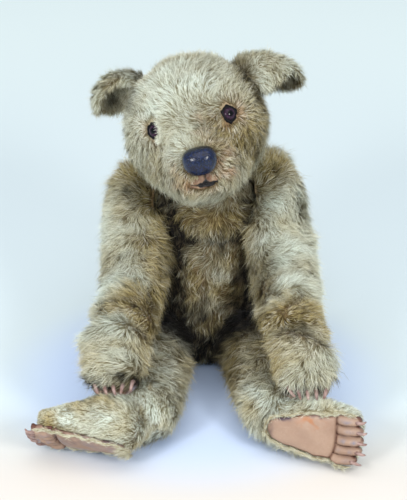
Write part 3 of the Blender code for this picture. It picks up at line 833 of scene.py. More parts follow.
def pile(name, skin, count, guides, length, coat, seed, density=None, width=0.00052, tuft=0.0042):
    """Grows the pile on a skin as thin blades, gathered into tufts, and tufts into locks."""
    rng = np.random.default_rng(seed)
    under = coordinates(skin.data) - OFFSET
    attribute(skin.data, "coat", coat(under, vertex_normals(skin.data))[:, :3])
    roots, normals, room, area = scatter(skin.data, count, density, rng)
    count = len(roots)
    here = roots - OFFSET
    long = np.minimum(length(here) * rng.normal(1.0, 0.16, count).clip(0.5, 1.5), 0.001 + room * 1.6)
    swirl = MESS * (0.50 * waves(here, 0.030, seed + 1) + 0.30 * waves(here, 0.011, seed + 2))

    def gather(spacing):
        """The tuft that each blade belongs to, and the blade at each tuft's middle."""
        cells = max(4, int(area / spacing ** 2 * 1.1))
        chosen = rng.permutation(count)[:cells]
        tree = kdtree.KDTree(len(chosen))
        for k, spot in enumerate(roots[chosen].tolist()):
            tree.insert(spot, k)
        tree.balance()
        return chosen, np.array([tree.find(spot)[1] for spot in roots.tolist()])

    def each():
        return rng.normal(size=count)

    def by_tuft():
        return rng.normal(size=len(tufts))[in_tuft]

    tufts, in_tuft = gather(tuft)
    locks, in_lock = gather(LOCK)
    turn = swirl + 0.17 * MESS * each() + 0.20 * MESS * by_tuft()
    turn += 0.18 * MESS * rng.normal(size=len(locks))[in_lock]
    kind = rng.random(count)
    top, stray = kind > 0.58, kind > 0.94
    turn += np.where(stray, 0.75, np.where(top, 0.20, 0.0)) * MESS * each()
    long *= np.where(stray, 1.38, np.where(top, 1.14, 0.92))
    ways = turned_about(combed(here, normals, guides), normals, turn)
    lift = 4 * by_tuft() + 6 * each() - np.where(stray, 16, 3 * top)
    low = np.radians(np.clip(LEAN[0] + lift, 5, 80))[:, None]
    high = np.radians(np.clip(LEAN[1] + lift + 5 * each(), 25, 96))[:, None]
    long *= (1 + 0.10 * by_tuft()).clip(0.6, 1.4)
    curl = (0.35 * by_tuft() + 0.15 * each()) * MESS
    mid = roots + (normals * np.cos(low) + ways * np.sin(low)) * long[:, None] * 0.48
    bent = turned_about(ways, normals, curl)
    tip = mid + (normals * np.cos(high) + bent * np.sin(high)) * long[:, None] * 0.52
    centre = tufts[in_tuft]
    near = (np.linalg.norm(roots - roots[centre], axis=1) < 1.6 * tuft)[:, None]
    pull = CLUMP * rng.uniform(0.6, 1.0, (count, 1)) * near
    mid = mid + (mid[centre] - mid) * pull * 0.45
    tip = tip + (tip[centre] - tip) * pull

    second = unit(tip - mid)
    roll = np.radians(rng.normal(0, 16, count)).clip(-0.6, 0.6)[:, None]
    flat = unit(np.cross(second, normals))
    across = flat * np.cos(roll) + np.cross(flat, second) * np.sin(roll)
    broad = width * rng.uniform(0.65, 1.35, count) * np.where(stray, 0.55, np.where(top, 0.80, 1.12))
    across *= broad[:, None] * 0.5
    points = np.stack([roots, mid - across, mid + across, tip], 1)
    points[..., 2] = np.maximum(points[..., 2], FLOOR_GAP)
    tone = 0.6 * rng.random(count) + 0.4 * rng.random(len(tufts))[in_tuft]
    blades(name, points, normals, coat(here, normals), np.where(top, 0.62 + 0.38 * tone, 0.55 * tone), ~top)


def blades(name, points, normals, coat, pick, plain=None):
    """One mesh of many blades, with the values that their material reads. The plain ones, low in the
    pile, are single triangles from root to tip; the others are bent, and pointed at both ends."""
    plain = np.zeros(len(points), bool) if plain is None else plain
    order = np.concatenate([np.flatnonzero(~plain), np.flatnonzero(plain)])
    bent, count = int((~plain).sum()), len(points)
    points, normals, coat, pick = points[order], normals[order], coat[order], pick[order]
    facing = np.cross(points[:, 2] - points[:, 1], points[:, 3] - points[:, 1])
    outward = dots(facing, normals) > 0
    half = (points[bent:, 2] - points[bent:, 1]) / 2
    straight = np.stack([points[bent:, 0] - half, points[bent:, 0] + half, points[bent:, 3]], 1)
    spots = np.concatenate([points[:bent].reshape(-1, 3), straight.reshape(-1, 3)])
    spots[:, 2] = np.maximum(spots[:, 2], FLOOR_GAP)
    corners, outline = [], []
    for low, high, first, size, ahead, places in (
            (0, bent, 0, 4, [0, 2, 1, 1, 2, 3], [(0.5, 0.05), (0.1, 0.5), (0.9, 0.5), (0.5, 0.95)]),
            (bent, count, bent * 4, 3, [0, 1, 2], [(0.1, 0.05), (0.9, 0.05), (0.5, 0.95)])):
        ahead = np.array(ahead).reshape(-1, 3)
        pattern = np.where(outward[low:high], ahead.reshape(1, -1), ahead[:, ::-1].reshape(1, -1))
        corners.append((first + np.arange(high - low)[:, None] * size + pattern).ravel())
        outline.append(np.array(places)[pattern].reshape(-1, 2))
    mesh = bpy.data.meshes.new(name)
    mesh.vertices.add(len(spots))
    mesh.vertices.foreach_set("co", spots.astype(np.float32).ravel())
    corners = np.concatenate(corners)
    mesh.loops.add(len(corners))
    mesh.loops.foreach_set("vertex_index", corners.astype(np.int32))
    mesh.polygons.add(len(corners) // 3)
    mesh.polygons.foreach_set("loop_start", (np.arange(len(corners) // 3) * 3).astype(np.int32))
    mesh.update(calc_edges=True)
    mesh.shade_smooth()
    each = np.repeat(np.arange(count), np.where(np.arange(count) < bent, 4, 3))
    attribute(mesh, "along", np.concatenate([np.tile([0, 0.5, 0.5, 1.0], bent),
                                             np.tile([0, 0, 1.0], count - bent)]))
    attribute(mesh, "pick", pick[each])
    attribute(mesh, "coat", coat[each, :3])
    attribute(mesh, "yellow", coat[each, 3])
    # The layout that the material is baked to: a square of cells, one for each blade.
    across = math.ceil(math.sqrt(count))
    corner_of = np.repeat(np.arange(count), np.where(np.arange(count) < bent, 6, 3))
    cell = np.stack([corner_of % across, corner_of // across], 1)
    layout = mesh.uv_layers.new(name="OFBake")
    layout.data.foreach_set("uv", ((cell + np.concatenate(outline)) / across).astype(np.float32).ravel())
    obj = new_object(name, mesh, FUR)
    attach(obj, "root")


# Where the pile lies which way: (x, y, z, degrees) as combed() reads them.
HEAD_GUIDES = [
    (-0.008, -0.058, 0.347, 85), (0.012, -0.065, 0.344, 50), (-0.030, -0.062, 0.343, 125),
    (0.012, -0.091, 0.331, 35), (-0.014, -0.106, 0.315, 110), (-0.049, -0.094, 0.313, 215),
    (-0.065, -0.093, 0.275, 245), (-0.045, -0.113, 0.257, 275), (0.046, -0.099, 0.277, 268),
    (0.022, -0.130, 0.281, 262), (0.007, -0.139, 0.242, 215), (0.030, -0.085, 0.326, 40),
    (0.059, -0.062, 0.308, 275), (-0.020, -0.135, 0.270, 235), (0.0, 0.0, 0.346, 90),
    (0.0, 0.045, 0.270, 270), (-0.080, 0.0, 0.265, 262), (0.072, 0.0, 0.275, 278), (0.0, -0.08, 0.225, 265),
]
TORSO_GUIDES = [
    (0.002, -0.051, 0.178, 190), (-0.004, -0.054, 0.163, 300), (0.038, -0.045, 0.166, 310),
    (0.035, -0.050, 0.150, 250), (-0.028, -0.053, 0.154, 280), (0.002, -0.067, 0.128, 262),
    (0.035, -0.067, 0.106, 215), (-0.030, -0.070, 0.100, 285), (0.013, -0.086, 0.053, 250),
    (0.0, 0.080, 0.10, 270), (-0.08, 0.02, 0.1, 270), (0.08, 0.02, 0.1, 270),
]
ARM_GUIDES = {
    "right": [
        (-0.073, -0.036, 0.199, 200), (-0.105, -0.048, 0.164, 195), (-0.104, -0.088, 0.142, 222),
        (-0.101, -0.134, 0.131, 190), (-0.080, -0.070, 0.165, 215), (-0.052, -0.056, 0.168, 300),
        (-0.047, -0.076, 0.149, 285), (-0.047, -0.101, 0.134, 295), (-0.069, -0.168, 0.129, 200),
        (-0.096, -0.223, 0.112, 220), (-0.057, -0.219, 0.103, 275), (-0.088, -0.245, 0.098, 205),
        (-0.095, 0.030, 0.150, 265),
    ],
    "left": [
        (0.071, -0.022, 0.229, 70), (0.108, -0.034, 0.186, 292), (0.112, -0.014, 0.200, 276),
        (0.079, -0.064, 0.179, 320), (0.076, -0.092, 0.157, 345), (0.052, -0.068, 0.153, 262),
        (0.075, -0.133, 0.137, 350), (0.080, -0.162, 0.132, 205), (0.103, -0.181, 0.128, 5),
        (0.094, -0.220, 0.114, 267), (0.074, -0.235, 0.097, 250), (0.115, -0.090, 0.140, 320),
        (0.100, 0.030, 0.150, 275),
    ],
}
LEG_GUIDES = {
    "right": [
        (-0.032, -0.164, 0.063, 285), (-0.057, -0.229, 0.064, 265), (-0.031, -0.230, 0.050, 245),
        (-0.068, -0.273, 0.061, 200), (-0.137, -0.286, 0.064, 232), (-0.118, -0.282, 0.066, 186),
        (-0.057, -0.251, 0.015, 200), (-0.105, -0.292, 0.054, 190), (-0.100, -0.150, 0.040, 240),
        (-0.05, -0.05, 0.08, 270),
    ],
    "left": [
        (0.041, -0.155, 0.065, 265), (0.049, -0.217, 0.057, 250), (0.055, -0.241, 0.049, 255),
        (0.099, -0.253, 0.063, 5), (0.050, -0.265, 0.020, 240), (0.110, -0.150, 0.040, 300),
        (0.05, -0.05, 0.08, 270),
    ],
}


def guide_round(centre, far, turn, degrees):
    """One more guide on the head, a little way off a point, as the bear is looked at."""
    way = Vector((math.cos(math.radians(turn)), *(math.sin(math.radians(turn)) * VIEW_UP[1:])))
    HEAD_GUIDES.append((*(HEAD_FRAME @ Vector(centre) + way * far), degrees))


for turn in range(0, 360, 45):
    if turn not in (0, 45, 315):
        guide_round((-EYE_AT[0], EYE_AT[1], EYE_AT[2]), 0.012, turn, turn)
for turn in range(0, 360, 45):
    guide_round(EYE_AT, 0.012, turn, turn)
for turn in range(0, 360, 45):
    guide_round((NOSE_AT[0], NOSE_AT[1] + 0.008, NOSE_AT[2] - 0.004), 0.024, turn,
                turn if turn < 180 else 270 + (turn - 270) * 0.7)


def coat_of(warm, dark=0.0, red=0.0, yellow=0.0):
    """The four shares that the pile's material mixes, a row for each point."""
    columns = np.broadcast_arrays(*(np.atleast_1d(v) for v in (warm, dark, red, yellow)))
    return np.clip(np.stack(columns, 1), 0, 1)


def patches(points, *spots):
    """The sum of soft patches, each given as how strong it is, its centre and its size."""
    return sum(share * blob(points, centre, size) for share, centre, size in spots)


def head_coat(here, _):
    """Bleached crown and brow, tea-brown left cheek and temple, reddish by the eyes and muzzle, with shade
    painted where the ears meet the head and under the chin.
    """
    local = into(HEAD_FRAME, here)
    low_cheek = blob(local, (-0.047, -0.075, -0.018), (0.024, 0.05, 0.026))
    warm = 0.52 + 0.10 * waves(here, 0.020, 21) + 0.14 * low_cheek
    warm += 0.20 * smooth(local[:, 1], 0.0, 0.05) + 0.35 * smooth(-local[:, 2], 0.045, 0.070)
    warm += patches(
        local, (-0.34, (-0.012, -0.060, 0.066), (0.060, 0.060, 0.034)),
        (-0.10, (-0.036, -0.080, -0.026), (0.022, 0.05, 0.018)),
        (0.22, (-0.050, -0.070, -0.004), (0.020, 0.05, 0.026)),
        (0.35, (0.030, -0.085, 0.022), (0.024, 0.050, 0.028)),
        (0.45, (0.052, -0.070, -0.005), (0.030, 0.050, 0.045)),
        (0.16, (0.0, -0.105, -0.010), (0.045, 0.05, 0.030)),
        (0.40, (0.074, -0.030, 0.015), (0.024, 0.045, 0.045)))
    red = (0.65 + 0.55 * waves(here, 0.008, 22)) * patches(
        local, (0.45, (-0.046, -0.065, 0.031), (0.010, 0.03, 0.013)),
        (0.45, (0.043, -0.065, 0.030), (0.015, 0.03, 0.015)),
        (0.85, (0.025, -0.104, 0.002), (0.012, 0.03, 0.022)),
        (0.60, (0.014, -0.090, 0.030), (0.012, 0.03, 0.014)),
        (0.75, (-0.004, -0.115, -0.018), (0.028, 0.03, 0.011)),
        (0.35, (-0.023, -0.108, -0.004), (0.010, 0.03, 0.016)))
    # Painted shade at the left ear's root, which is browner too.
    dark = patches(local, (0.85, (0.057, -0.008, 0.050), (0.014, 0.03, 0.021)),
                   (0.80, (0.072, -0.020, 0.034), (0.011, 0.03, 0.018)))
    warm += 0.6 * np.clip(dark, 0, 1)
    # Painted shade at the right ear's root, and a dark patch by the left eye.
    dark += patches(local, (0.7, (-0.054, -0.010, 0.055), (0.010, 0.03, 0.026)),
                    (0.55, (0.018, -0.090, 0.028), (0.005, 0.03, 0.014)))
    bridge = blob(local, (0.018, -0.095, 0.032), (0.018, 0.04, 0.020))
    dark += 0.75 * np.clip(waves(here, 0.006, 24), 0, 1) * bridge + 0.12 * low_cheek
    # Darker towards the bottom: painted shade under the chin.
    dark += 0.35 * smooth(-local[:, 2], 0.050, 0.070) + 0.07 * smooth(-local[:, 2], -0.020, 0.010)
    dark += 0.20 * np.clip(waves(here, 0.010, 23), 0, 1) * smooth(local[:, 0], 0.005, 0.03)
    return coat_of(warm, dark, red)


def torso_coat(here, _):
    """Sheltered pile: brown, darkest beside the arms and in the lap where shade is painted, golden in the
    roll under the chin.
    """
    x, y, z = here.T
    warm = 0.88 + 0.16 * waves(here, 0.018, 31)
    warm -= 0.22 * blob(here, (0.012, -0.06, 0.130), (0.026, 0.04, 0.026))
    # Painted shade: beside the arms, in the crease under the roll, and low in the lap.
    sides = smooth(np.abs(x - 0.011), 0.022, 0.038) * (0.58 + 0.24 * smooth(-z, -0.150, -0.105))
    crease = ridge(z - 0.1500 - 0.05 * x, 0.0012 * waves(here, 0.022, 14), 0.0070)
    dark = 0.29 + 0.16 * waves(here * (1, 1, 0.4), 0.009, 32) + sides + 0.55 * crease
    dark += 0.53 * smooth(-z, -0.098, -0.064) + 0.25 * smooth(-z, -0.060, -0.040)
    dark += patches(here, (-0.10, (0.012, -0.06, 0.130), (0.022, 0.04, 0.022)),
                    (0.75, (-0.030, -0.05, 0.155), (0.012, 0.04, 0.022)))
    dark *= 0.95 + 0.35 * waves(here, 0.0060, 33)
    yellow = 0.95 * ridge(z - 0.1735, 0.05 * x, 0.0085)
    yellow += 0.35 * blob(here, (0.0, -0.06, 0.160), (0.03, 0.04, 0.005))
    front, back = smooth(-y, 0.0, 0.03), smooth(y, 0.0, 0.05)
    return coat_of(warm * (1 - 0.50 * back), front * dark * (1 - back), 0, front * yellow)


def arm_coat(side, here, normals):
    """Bleached outside, brown inside and at the shoulder, golden round the wrist, with shade painted in the
    wrist fold, on the inner side against the body and under the paw.
    """
    hand, path = SIDES[side], np.array(ARMS[side])
    at, _ = along_path(here, path)
    steps = along_path(path[:, :3], path)[0]
    inward = -hand * (here[:, 0] - np.interp(at, steps, path[:, 0])) / np.interp(at, steps, path[:, 3])
    inner = smooth(-hand * normals[:, 0], 0.45, 0.95)
    under = smooth(-normals[:, 2], 0.1, 0.7)
    lip = smooth(-normals[:, 2], -0.40, 0.10) * smooth(at, 0.93, 0.985)
    lip *= 0.65 + 0.35 * waves(here, 0.005, 47)
    fold, above, _ = wrist_fold(side, here, 0.008)
    warm = 0.14 * waves(here, 0.020, 41 + hand) + 0.35 * inner + 0.30 * above
    if side == "right":
        warm += 0.27 + 0.22 * smooth(at, 0.86, 0.92)
        shaded = smooth(inward + 0.14 * waves(here, 0.016, 43), -0.05, 0.45)
        warm += 0.80 * shaded * (1 - smooth(at, 0.58, 0.80))
        warm += patches(here, (0.80, (-0.073, -0.020, 0.205), (0.050, 0.040, 0.024)),
                        (0.65, (-0.068, -0.160, 0.129), (0.018, 0.016, 0.020)),
                        (0.35, (-0.064, -0.200, 0.118), (0.012, 0.030, 0.020)),
                        (-0.25, (-0.104, -0.134, 0.131), (0.030, 0.030, 0.030)))
        # Painted shade in the wrist fold and on the inner side against the body; dark at the shoulder too.
        dark = 0.66 * blob(here, (-0.065, -0.037, 0.196), (0.028, 0.030, 0.011)) + 0.55 * fold
        dark += 0.50 * smooth(inward, 0.30, 0.80) * (1 - smooth(at, 0.45, 0.62))
        yellow = patches(here, (0.55, (-0.055, -0.100, 0.138), (0.012, 0.030, 0.020)),
                         (0.60, (-0.070, -0.155, 0.130), (0.026, 0.014, 0.020)))
        yellow += 0.25 * smooth(waves(here, 0.014, 45), 0.2, 1.0)
        gold, red = 0.35, 0.0
    else:
        warm += 0.27 + 0.22 * smooth(inward, 0.2, 0.7)
        warm += patches(here, (0.80, (0.072, -0.022, 0.222), (0.036, 0.040, 0.026)),
                        (0.85, (0.102, -0.180, 0.129), (0.040, 0.018, 0.030)),
                        (0.40, (0.085, -0.240, 0.102), (0.030, 0.014, 0.020)),
                        (0.25, (0.090, -0.215, 0.115), (0.050, 0.020, 0.030)))
        # Painted shade on the inner side against the body and in the wrist fold.
        dark = 0.35 * smooth(inward, 0.75, 1.0) + 0.78 * fold
        dark += patches(here, (0.75, (0.077, -0.030, 0.212), (0.012, 0.020, 0.012)),
                        (0.55, (0.102, -0.192, 0.127), (0.034, 0.006, 0.020)))
        yellow = patches(here, (0.50, (0.085, -0.066, 0.180), (0.016, 0.020, 0.016)),
                         (0.90, (0.102, -0.168, 0.131), (0.032, 0.016, 0.020)))
        yellow += 0.18 * smooth(waves(here, 0.014, 46), 0.2, 1.0)
        gold, red = 0.15, 0.75 * blob(here, (0.062, -0.072, 0.172), (0.007, 0.012, 0.010))
    yellow += gold * above * smooth(waves(here, 0.012, 49), -0.5, 0.5) + 0.22 * np.clip(warm, 0, 1)
    # Painted shade above the fold, under the paw and round the claws' roots.
    dark += 0.34 * above * (0.5 + 0.6 * waves(here, 0.010, 48))
    dark += 0.75 * under * smooth(at, 0.86, 0.94) + 0.8 * lip
    dark *= 0.9 + 0.45 * waves(here, 0.0055, 40)
    return coat_of(warm + 0.3 * under + 0.1 * smooth(here[:, 1], -0.02, 0.02), dark, red, yellow)


def leg_coat(side, here, normals):
    """Mottled brown at the knees' inner sides, pale over the shins, cream and worn on the feet, with shade
    painted between the legs near the hips and on the undersides.
    """
    hand = SIDES[side]
    knee_warm, toe_warm, gold = (0.65, 0.05, 1.3) if side == "left" else (0.35, 0.18, 1.7)
    local = in_foot(side, here)
    knee = smooth(here[:, 1], -0.225, -0.165)
    toe = smooth(local[:, 0], 0.01, 0.04) * (np.abs(local[:, 2]) < 0.05)
    rim = smooth(local[:, 1], -0.010, -0.020) * (local[:, 0] > -0.03)
    warm = 0.10 + 0.14 * waves(here, 0.016, 51 + hand) + knee_warm * knee + toe_warm * toe
    warm += 0.25 * smooth(-hand * normals[:, 0], 0.3, 0.9)
    yellow = (0.10 + 0.14 * waves(here, 0.014, 56)) * gold * (1 - knee) + 0.30 * rim
    yellow += toe * (0.12 + 0.14 * waves(here, 0.012, 55))
    inner = 0.2 + 0.8 * smooth(-hand * normals[:, 0], -0.5, 0.2)
    # Painted shade: on the inner sides near the hips, on the undersides, and on the inner sides above the
    # feet.
    dark = 1.05 * smooth(here[:, 1], -0.150, -0.100) * inner + 0.25 * smooth(-normals[:, 2], 0.3, 0.9)
    dark += 0.16 * smooth(-hand * normals[:, 0], 0.1, 0.8) * smooth(here[:, 1], -0.240, -0.200)
    if side == "left":
        dark += 0.36 * blob(here, (0.036, -0.165, 0.060), (0.016, 0.03, 0.03))
        warm += 0.25 * blob(here, (0.036, -0.175, 0.058), (0.018, 0.04, 0.03))
    return coat_of(warm, dark, 0, yellow + 0.20 * np.clip(warm, 0, 1))


def ear_coat(side, here, normals):
    """Pale outside and along the rim, darker inside: brown pile, with shade painted into the hollow and at
    the root.
    """
    ear = ear_frame(side)
    local = into(ear, here + OFFSET)
    radial = unit(local / np.array(EARS[side][1]) ** 2)
    facing = (normals @ np.array(ear.to_3x3()) * radial).sum(1)
    # How much each point faces into the ear: the dark there is painted shade in the hollow.
    inside = smooth(-facing, -0.15, 0.45)
    warm = 0.32 + 0.20 * waves(here, 0.014, 61) + 0.45 * inside
    if side == "left":
        base = blob(local, (-0.022, -0.018, 0.022), (0.013, 0.022, 0.022))
        return coat_of(warm + 0.6 * base, 0.64 * inside + 0.65 * base, 0, 0.12)
    # Painted shade in the hollow and at the root, less on the front flap.
    hollow = blob(local, (-0.013, 0.011, 0.010), (0.013, 0.020, 0.016))
    base = blob(local, (0.022, -0.010, 0.010), (0.012, 0.03, 0.03))
    flap = blob(local, (0.006, 0.010, 0.016), (0.016, 0.016, 0.014))
    dark = (0.15 + 0.75 * hollow) * inside + 0.40 * base * (1 - inside)
    return coat_of(warm + 0.3 * base - 0.55 * flap, dark * (1 - 0.7 * flap), 0, 0.20)


def eye_frame(hand):
    """An eye's own place in the head: its front looks along its -Y."""
    way = turned("Z", hand * EYE_TURN) @ turned("X", -EYE_LIFT)
    return Matrix.Translation((hand * EYE_AT[0], EYE_AT[1], EYE_AT[2])) @ way


def bare_rubber(local):
    """Where the muzzle's rubber shows below the nose, from 0 to 1, with a ragged edge."""
    ragged = 0.18 * waves(local, 0.006, 77) + 0.12 * waves(local, 0.0028, 78)
    far = np.abs((local[:, 0] + 0.0005) / 0.0148) ** 2.4 + np.abs((local[:, 2] + 0.0168) / 0.0074) ** 2.4
    return smooth(-(far + ragged), -1.20, -0.80) * (local[:, 1] < -0.080)


def head_density(middle, _):
    """Bare rubber at the nose and mouth, thin pile by the eyes and on the muzzle."""
    local = into(HEAD_FRAME, middle)
    nose = (local - NOSE_AT + (0, 0, 0.0045)) / (0.0168, 0.05, 0.0112)
    bare = ((nose ** 2).sum(1) < 1.0) | (bare_rubber(local) > 0.5)
    for s in (-1, 1):
        eye = into(eye_frame(s), local)
        bare |= (eye[:, 0] ** 2 + (eye[:, 2] / 1.25) ** 2 < 0.0086 ** 2) & (eye[:, 1] < 0.014)
    front = 0.55 + 0.65 * smooth(-middle[:, 1], -0.01, 0.03)
    short = 0.011 / np.maximum(head_length(middle), 0.003)
    return np.where(bare, 0.0, front * np.minimum(short, 1.9))


def seen_first(_, facing):
    """More pile where the bear is looked at most: not behind, and not underneath."""
    return 0.50 + 0.60 * smooth(facing @ np.array((0, -0.80, 0.60)), -0.45, 0.25)


def leg_density(side, middle, facing):
    """No pile under the sole's rubber, and more where it is short."""
    local = in_foot(side, middle)
    turn = np.array(foot_frame(side).to_3x3(), float)
    sole = ((facing @ turn)[:, 1] < -0.6) & (local[:, 1] < -0.0160) & (local[:, 0] > -0.018)
    short = 0.0145 / leg_length(middle)
    return np.where(sole, 0.0, seen_first(middle, facing) * np.minimum(short, 1.9))


pile("pile_head", skins["head"], 90000, HEAD_GUIDES, head_length, head_coat, 1, head_density,
     width=0.00046, tuft=0.0038)
pile("pile_torso", skins["torso"], 58000, TORSO_GUIDES, torso_length, torso_coat, 2, seen_first,
     width=0.00046, tuft=0.0036)
for number, side in enumerate(SIDES):
    pile("pile_arm_" + side, skins["arm_" + side], 72000, ARM_GUIDES[side], partial(arm_length, side),
         partial(arm_coat, side), 3 + number, seen_first)
    pile("pile_leg_" + side, skins["leg_" + side], 68000, LEG_GUIDES[side], leg_length,
         partial(leg_coat, side), 5 + number, partial(leg_density, side))
    pile("pile_ear_" + side, skins["ear_" + side], 20000, HEAD_GUIDES, ear_length,
         partial(ear_coat, side), 7 + number, width=0.00042, tuft=0.0038)


# ---------------------------------------------------------------- face
def shell_of(name, points, rows, columns, depth, material):
    """A sheet over a grid of points, closed at the back by a copy of it that lies depth away."""
    faces = grid_faces(rows, columns)
    count = rows * columns
    back = faces[:, ::-1] + count
    index = np.arange(count).reshape(rows, columns)
    rim = np.concatenate([index[0], index[1:, -1], index[-1, -2::-1], index[-2:0:-1, 0]])
    after = np.roll(rim, -1)
    sides = np.stack([after, rim, rim + count, after + count], 1)
    mesh = smooth_mesh(name, np.vstack([points, points + depth]), np.vstack([faces, back, sides]).tolist())
    return new_object(name, mesh, material)


def mouth_line(x):
    return -0.0200 + 0.0030 * smooth(-x, 0.006, 0.022) - 0.0014 * smooth(x, 0.002, 0.014)


def make_muzzle():
    """The rubber muzzle that shows below the nose, with its cracked, painted lips."""
    rows, columns = 84, 90
    x, z = np.meshgrid(np.linspace(-0.026, 0.022, columns), np.linspace(-0.030, 0.018, rows))
    x, z = x.ravel(), z.ravel()
    skin = skins["head"].data
    wall, points = walls_of([skin]), coordinates(skin)
    ahead = (HEAD_PLACE.to_3x3() @ Vector((0, 1, 0))).normalized()
    y = np.empty(len(x))
    start, usual = -0.17, 0.075
    for k, spot in enumerate(out_of(HEAD_PLACE, np.stack([x, np.full(len(x), start), z], 1)).tolist()):
        hit = wall.ray_cast(spot, ahead)[3]
        y[k] = start + (usual if hit is None else hit)
    back = bare_rubber(into(HEAD_FRAME, points - OFFSET))[:, None]
    place(skin, points + back * 0.0050 * np.array(ahead))
    flat = np.stack([x, np.full(len(x), -0.11), z], 1)
    shown = bare_rubber(flat * (1.06, 1, 1.0))
    rise = z - mouth_line(x)
    wide = np.exp(-(np.abs(x - 0.002) / 0.0150) ** 4)
    proud = 0.0016 * ridge(rise, 0.0032, 0.0028)
    proud += 0.0014 * ridge(rise, -0.0026, 0.0022)
    slit = 0.0018 * ridge(rise, 0, 0.0008) * np.exp(-(np.abs(x + 0.002) / 0.0170) ** 6)
    groove = 0.0012 * ridge(x, 0.0020, 0.0011) * smooth(rise, 0.0015, 0.004)
    y = y + 0.0016 - 0.0028 * shown - proud * wide + slit + groove
    y += (0.00035 * waves(flat, 0.0035, 71) + 0.00018 * waves(flat, 0.0016, 72)) * wide
    obj = shell_of("face_rubber", out_of(HEAD_PLACE, np.stack([x, y, z], 1)), rows, columns,
                   np.array(HEAD_PLACE.to_3x3() @ Vector((0, 0.004, 0))), FACE_RUBBER)
    ragged = 0.00035 * waves(flat, 0.0040, 73) + 0.0003 * waves(flat, 0.0018, 74)
    lens = np.clip(1 - ((x - 0.0035) / 0.0128) ** 2, 0, 1) ** 0.4
    top = 0.0034 * lens + 0.0026 * ridge(x, 0.0020, 0.0030)
    paint = smooth(top - rise + ragged, 0, 0.0007) * (lens > 0)
    paint *= smooth(rise + 0.0036 * lens + ragged, 0, 0.0007)
    thin = ridge(rise, 0, 0.0008) * smooth(x + ragged, -0.0180, -0.0150) * smooth(-x, -0.017, -0.014)
    drip = ridge(x - 0.0022, -ragged, 0.0011) * smooth(rise, 0.0, 0.002)
    paint = np.maximum(paint, 0.8 * np.maximum(thin, drip))
    stem = ridge(x, 0.0020, 0.0030) * smooth(rise, 0.0, 0.003)
    grime_and_shade = np.clip(0.65 * stem + 0.26 + 0.30 * waves(flat, 0.005, 79), 0, 0.8)
    attribute(obj.data, "grey", np.tile(paint, 2))
    attribute(obj.data, "grime_and_shade", np.tile(grime_and_shade * (1 - paint), 2))
    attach(obj, "root")
    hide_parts("face_mask")


def make_nose():
    """A broad, blunt nose, narrower below, slightly flattened in front, with pimpled enamel."""
    obj = new_object("nose_moulded", ellipsoid((0, 0, 0), (1, 1, 1), None, 72, 44), NOSE_PAINT)
    p = coordinates(obj.data)
    x, y, z = p.T
    square = (np.abs(x) ** 2.9 + np.abs(z) ** 2.9 + 1e-9) ** (-1 / 2.9) * np.hypot(x, z)
    square = np.where(np.hypot(x, z) > 0.02, square, 1.0)
    x, z = x * square, z * square
    x = x * (1.0 - 0.17 * smooth(-z, 0.0, 0.95)) * 0.98
    z = z * np.where(z > 0, 0.96, 1.0)
    y = np.where(y < 0, -np.abs(y) ** 0.82, y)
    p = np.stack([x, y, z], 1) * np.array(NOSE_SIZE) + np.array(NOSE_AT)
    normals = unit(p - np.array(NOSE_AT))
    # How near the rim each point lies, for the shade that the enamel paints there.
    attribute(obj.data, "edge", smooth(y, -0.52, -0.08))
    bumps = 0.00003 * waves(p, 0.0060, 81) + 0.00002 * waves(p, 0.0012, 82)
    place(obj.data, out_of(HEAD_PLACE, p + normals * bumps[:, None]))
    obj.data.shade_smooth()
    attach(obj, "root")
    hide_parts("nose")


def make_eye(side, hand):
    """A glass eye in a cracked rubber rim, its paint gone at the edge."""
    local = HEAD_PLACE @ eye_frame(hand)
    ball = new_object("glass_eye_" + side, ellipsoid((0, 0, 0), EYE_SIZE, None, 48, 32), GLASS)
    p = coordinates(ball.data)
    attribute(ball.data, "ring", np.where(p[:, 1] < 0, np.hypot(p[:, 0], p[:, 2]) / EYE_SIZE[0], 1.0))
    ball.data.transform(local)
    ball.data.shade_smooth()
    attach(ball, "root")
    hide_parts("eye_" + side)

    rounds, around = 64, 14
    turn = np.repeat(np.linspace(0, math.tau, rounds, endpoint=False), around)
    tube = np.tile(np.linspace(0, math.tau, around, endpoint=False), rounds)
    ragged = 0.0005 * np.sin(3 * turn + hand) + 0.0003 * np.sin(7 * turn + 2) + 0.0002 * np.sin(13 * turn)
    leaning = turn + math.radians(-28 if side == "right" else 12)
    point = 0.0016 * ridge(np.cos(leaning / 2 - math.pi / 4), 0, 0.10)
    point += 0.0021 * ridge(np.cos(leaning / 2 + math.pi / 4), 0, 0.10)
    big = 0.0066 + ragged + 0.8 * point
    thick = 0.0026 + 0.0003 * np.sin(5 * turn + 1)
    out = big + thick * np.cos(tube)
    p = np.stack([out * np.cos(turn), 0.0016 * np.sin(tube) - 0.0004, out * np.sin(turn)], 1)
    faces = grid_faces(rounds + 1, around, True) % (rounds * around)
    mesh = smooth_mesh("rim_of_eye_" + side, out_of(local, p), faces.tolist())
    rim = new_object(mesh.name, mesh, RIM_RUBBER)
    attribute(mesh, "grey", np.clip(5.0 - (out - point - 0.0050) / 0.0016 + 0.25 * np.sin(9 * turn), 0, 1))
    attribute(mesh, "grime_and_shade", np.clip(0.25 + 0.3 * np.sin(5 * turn + 1), 0, 0.5))
    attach(rim, "root")


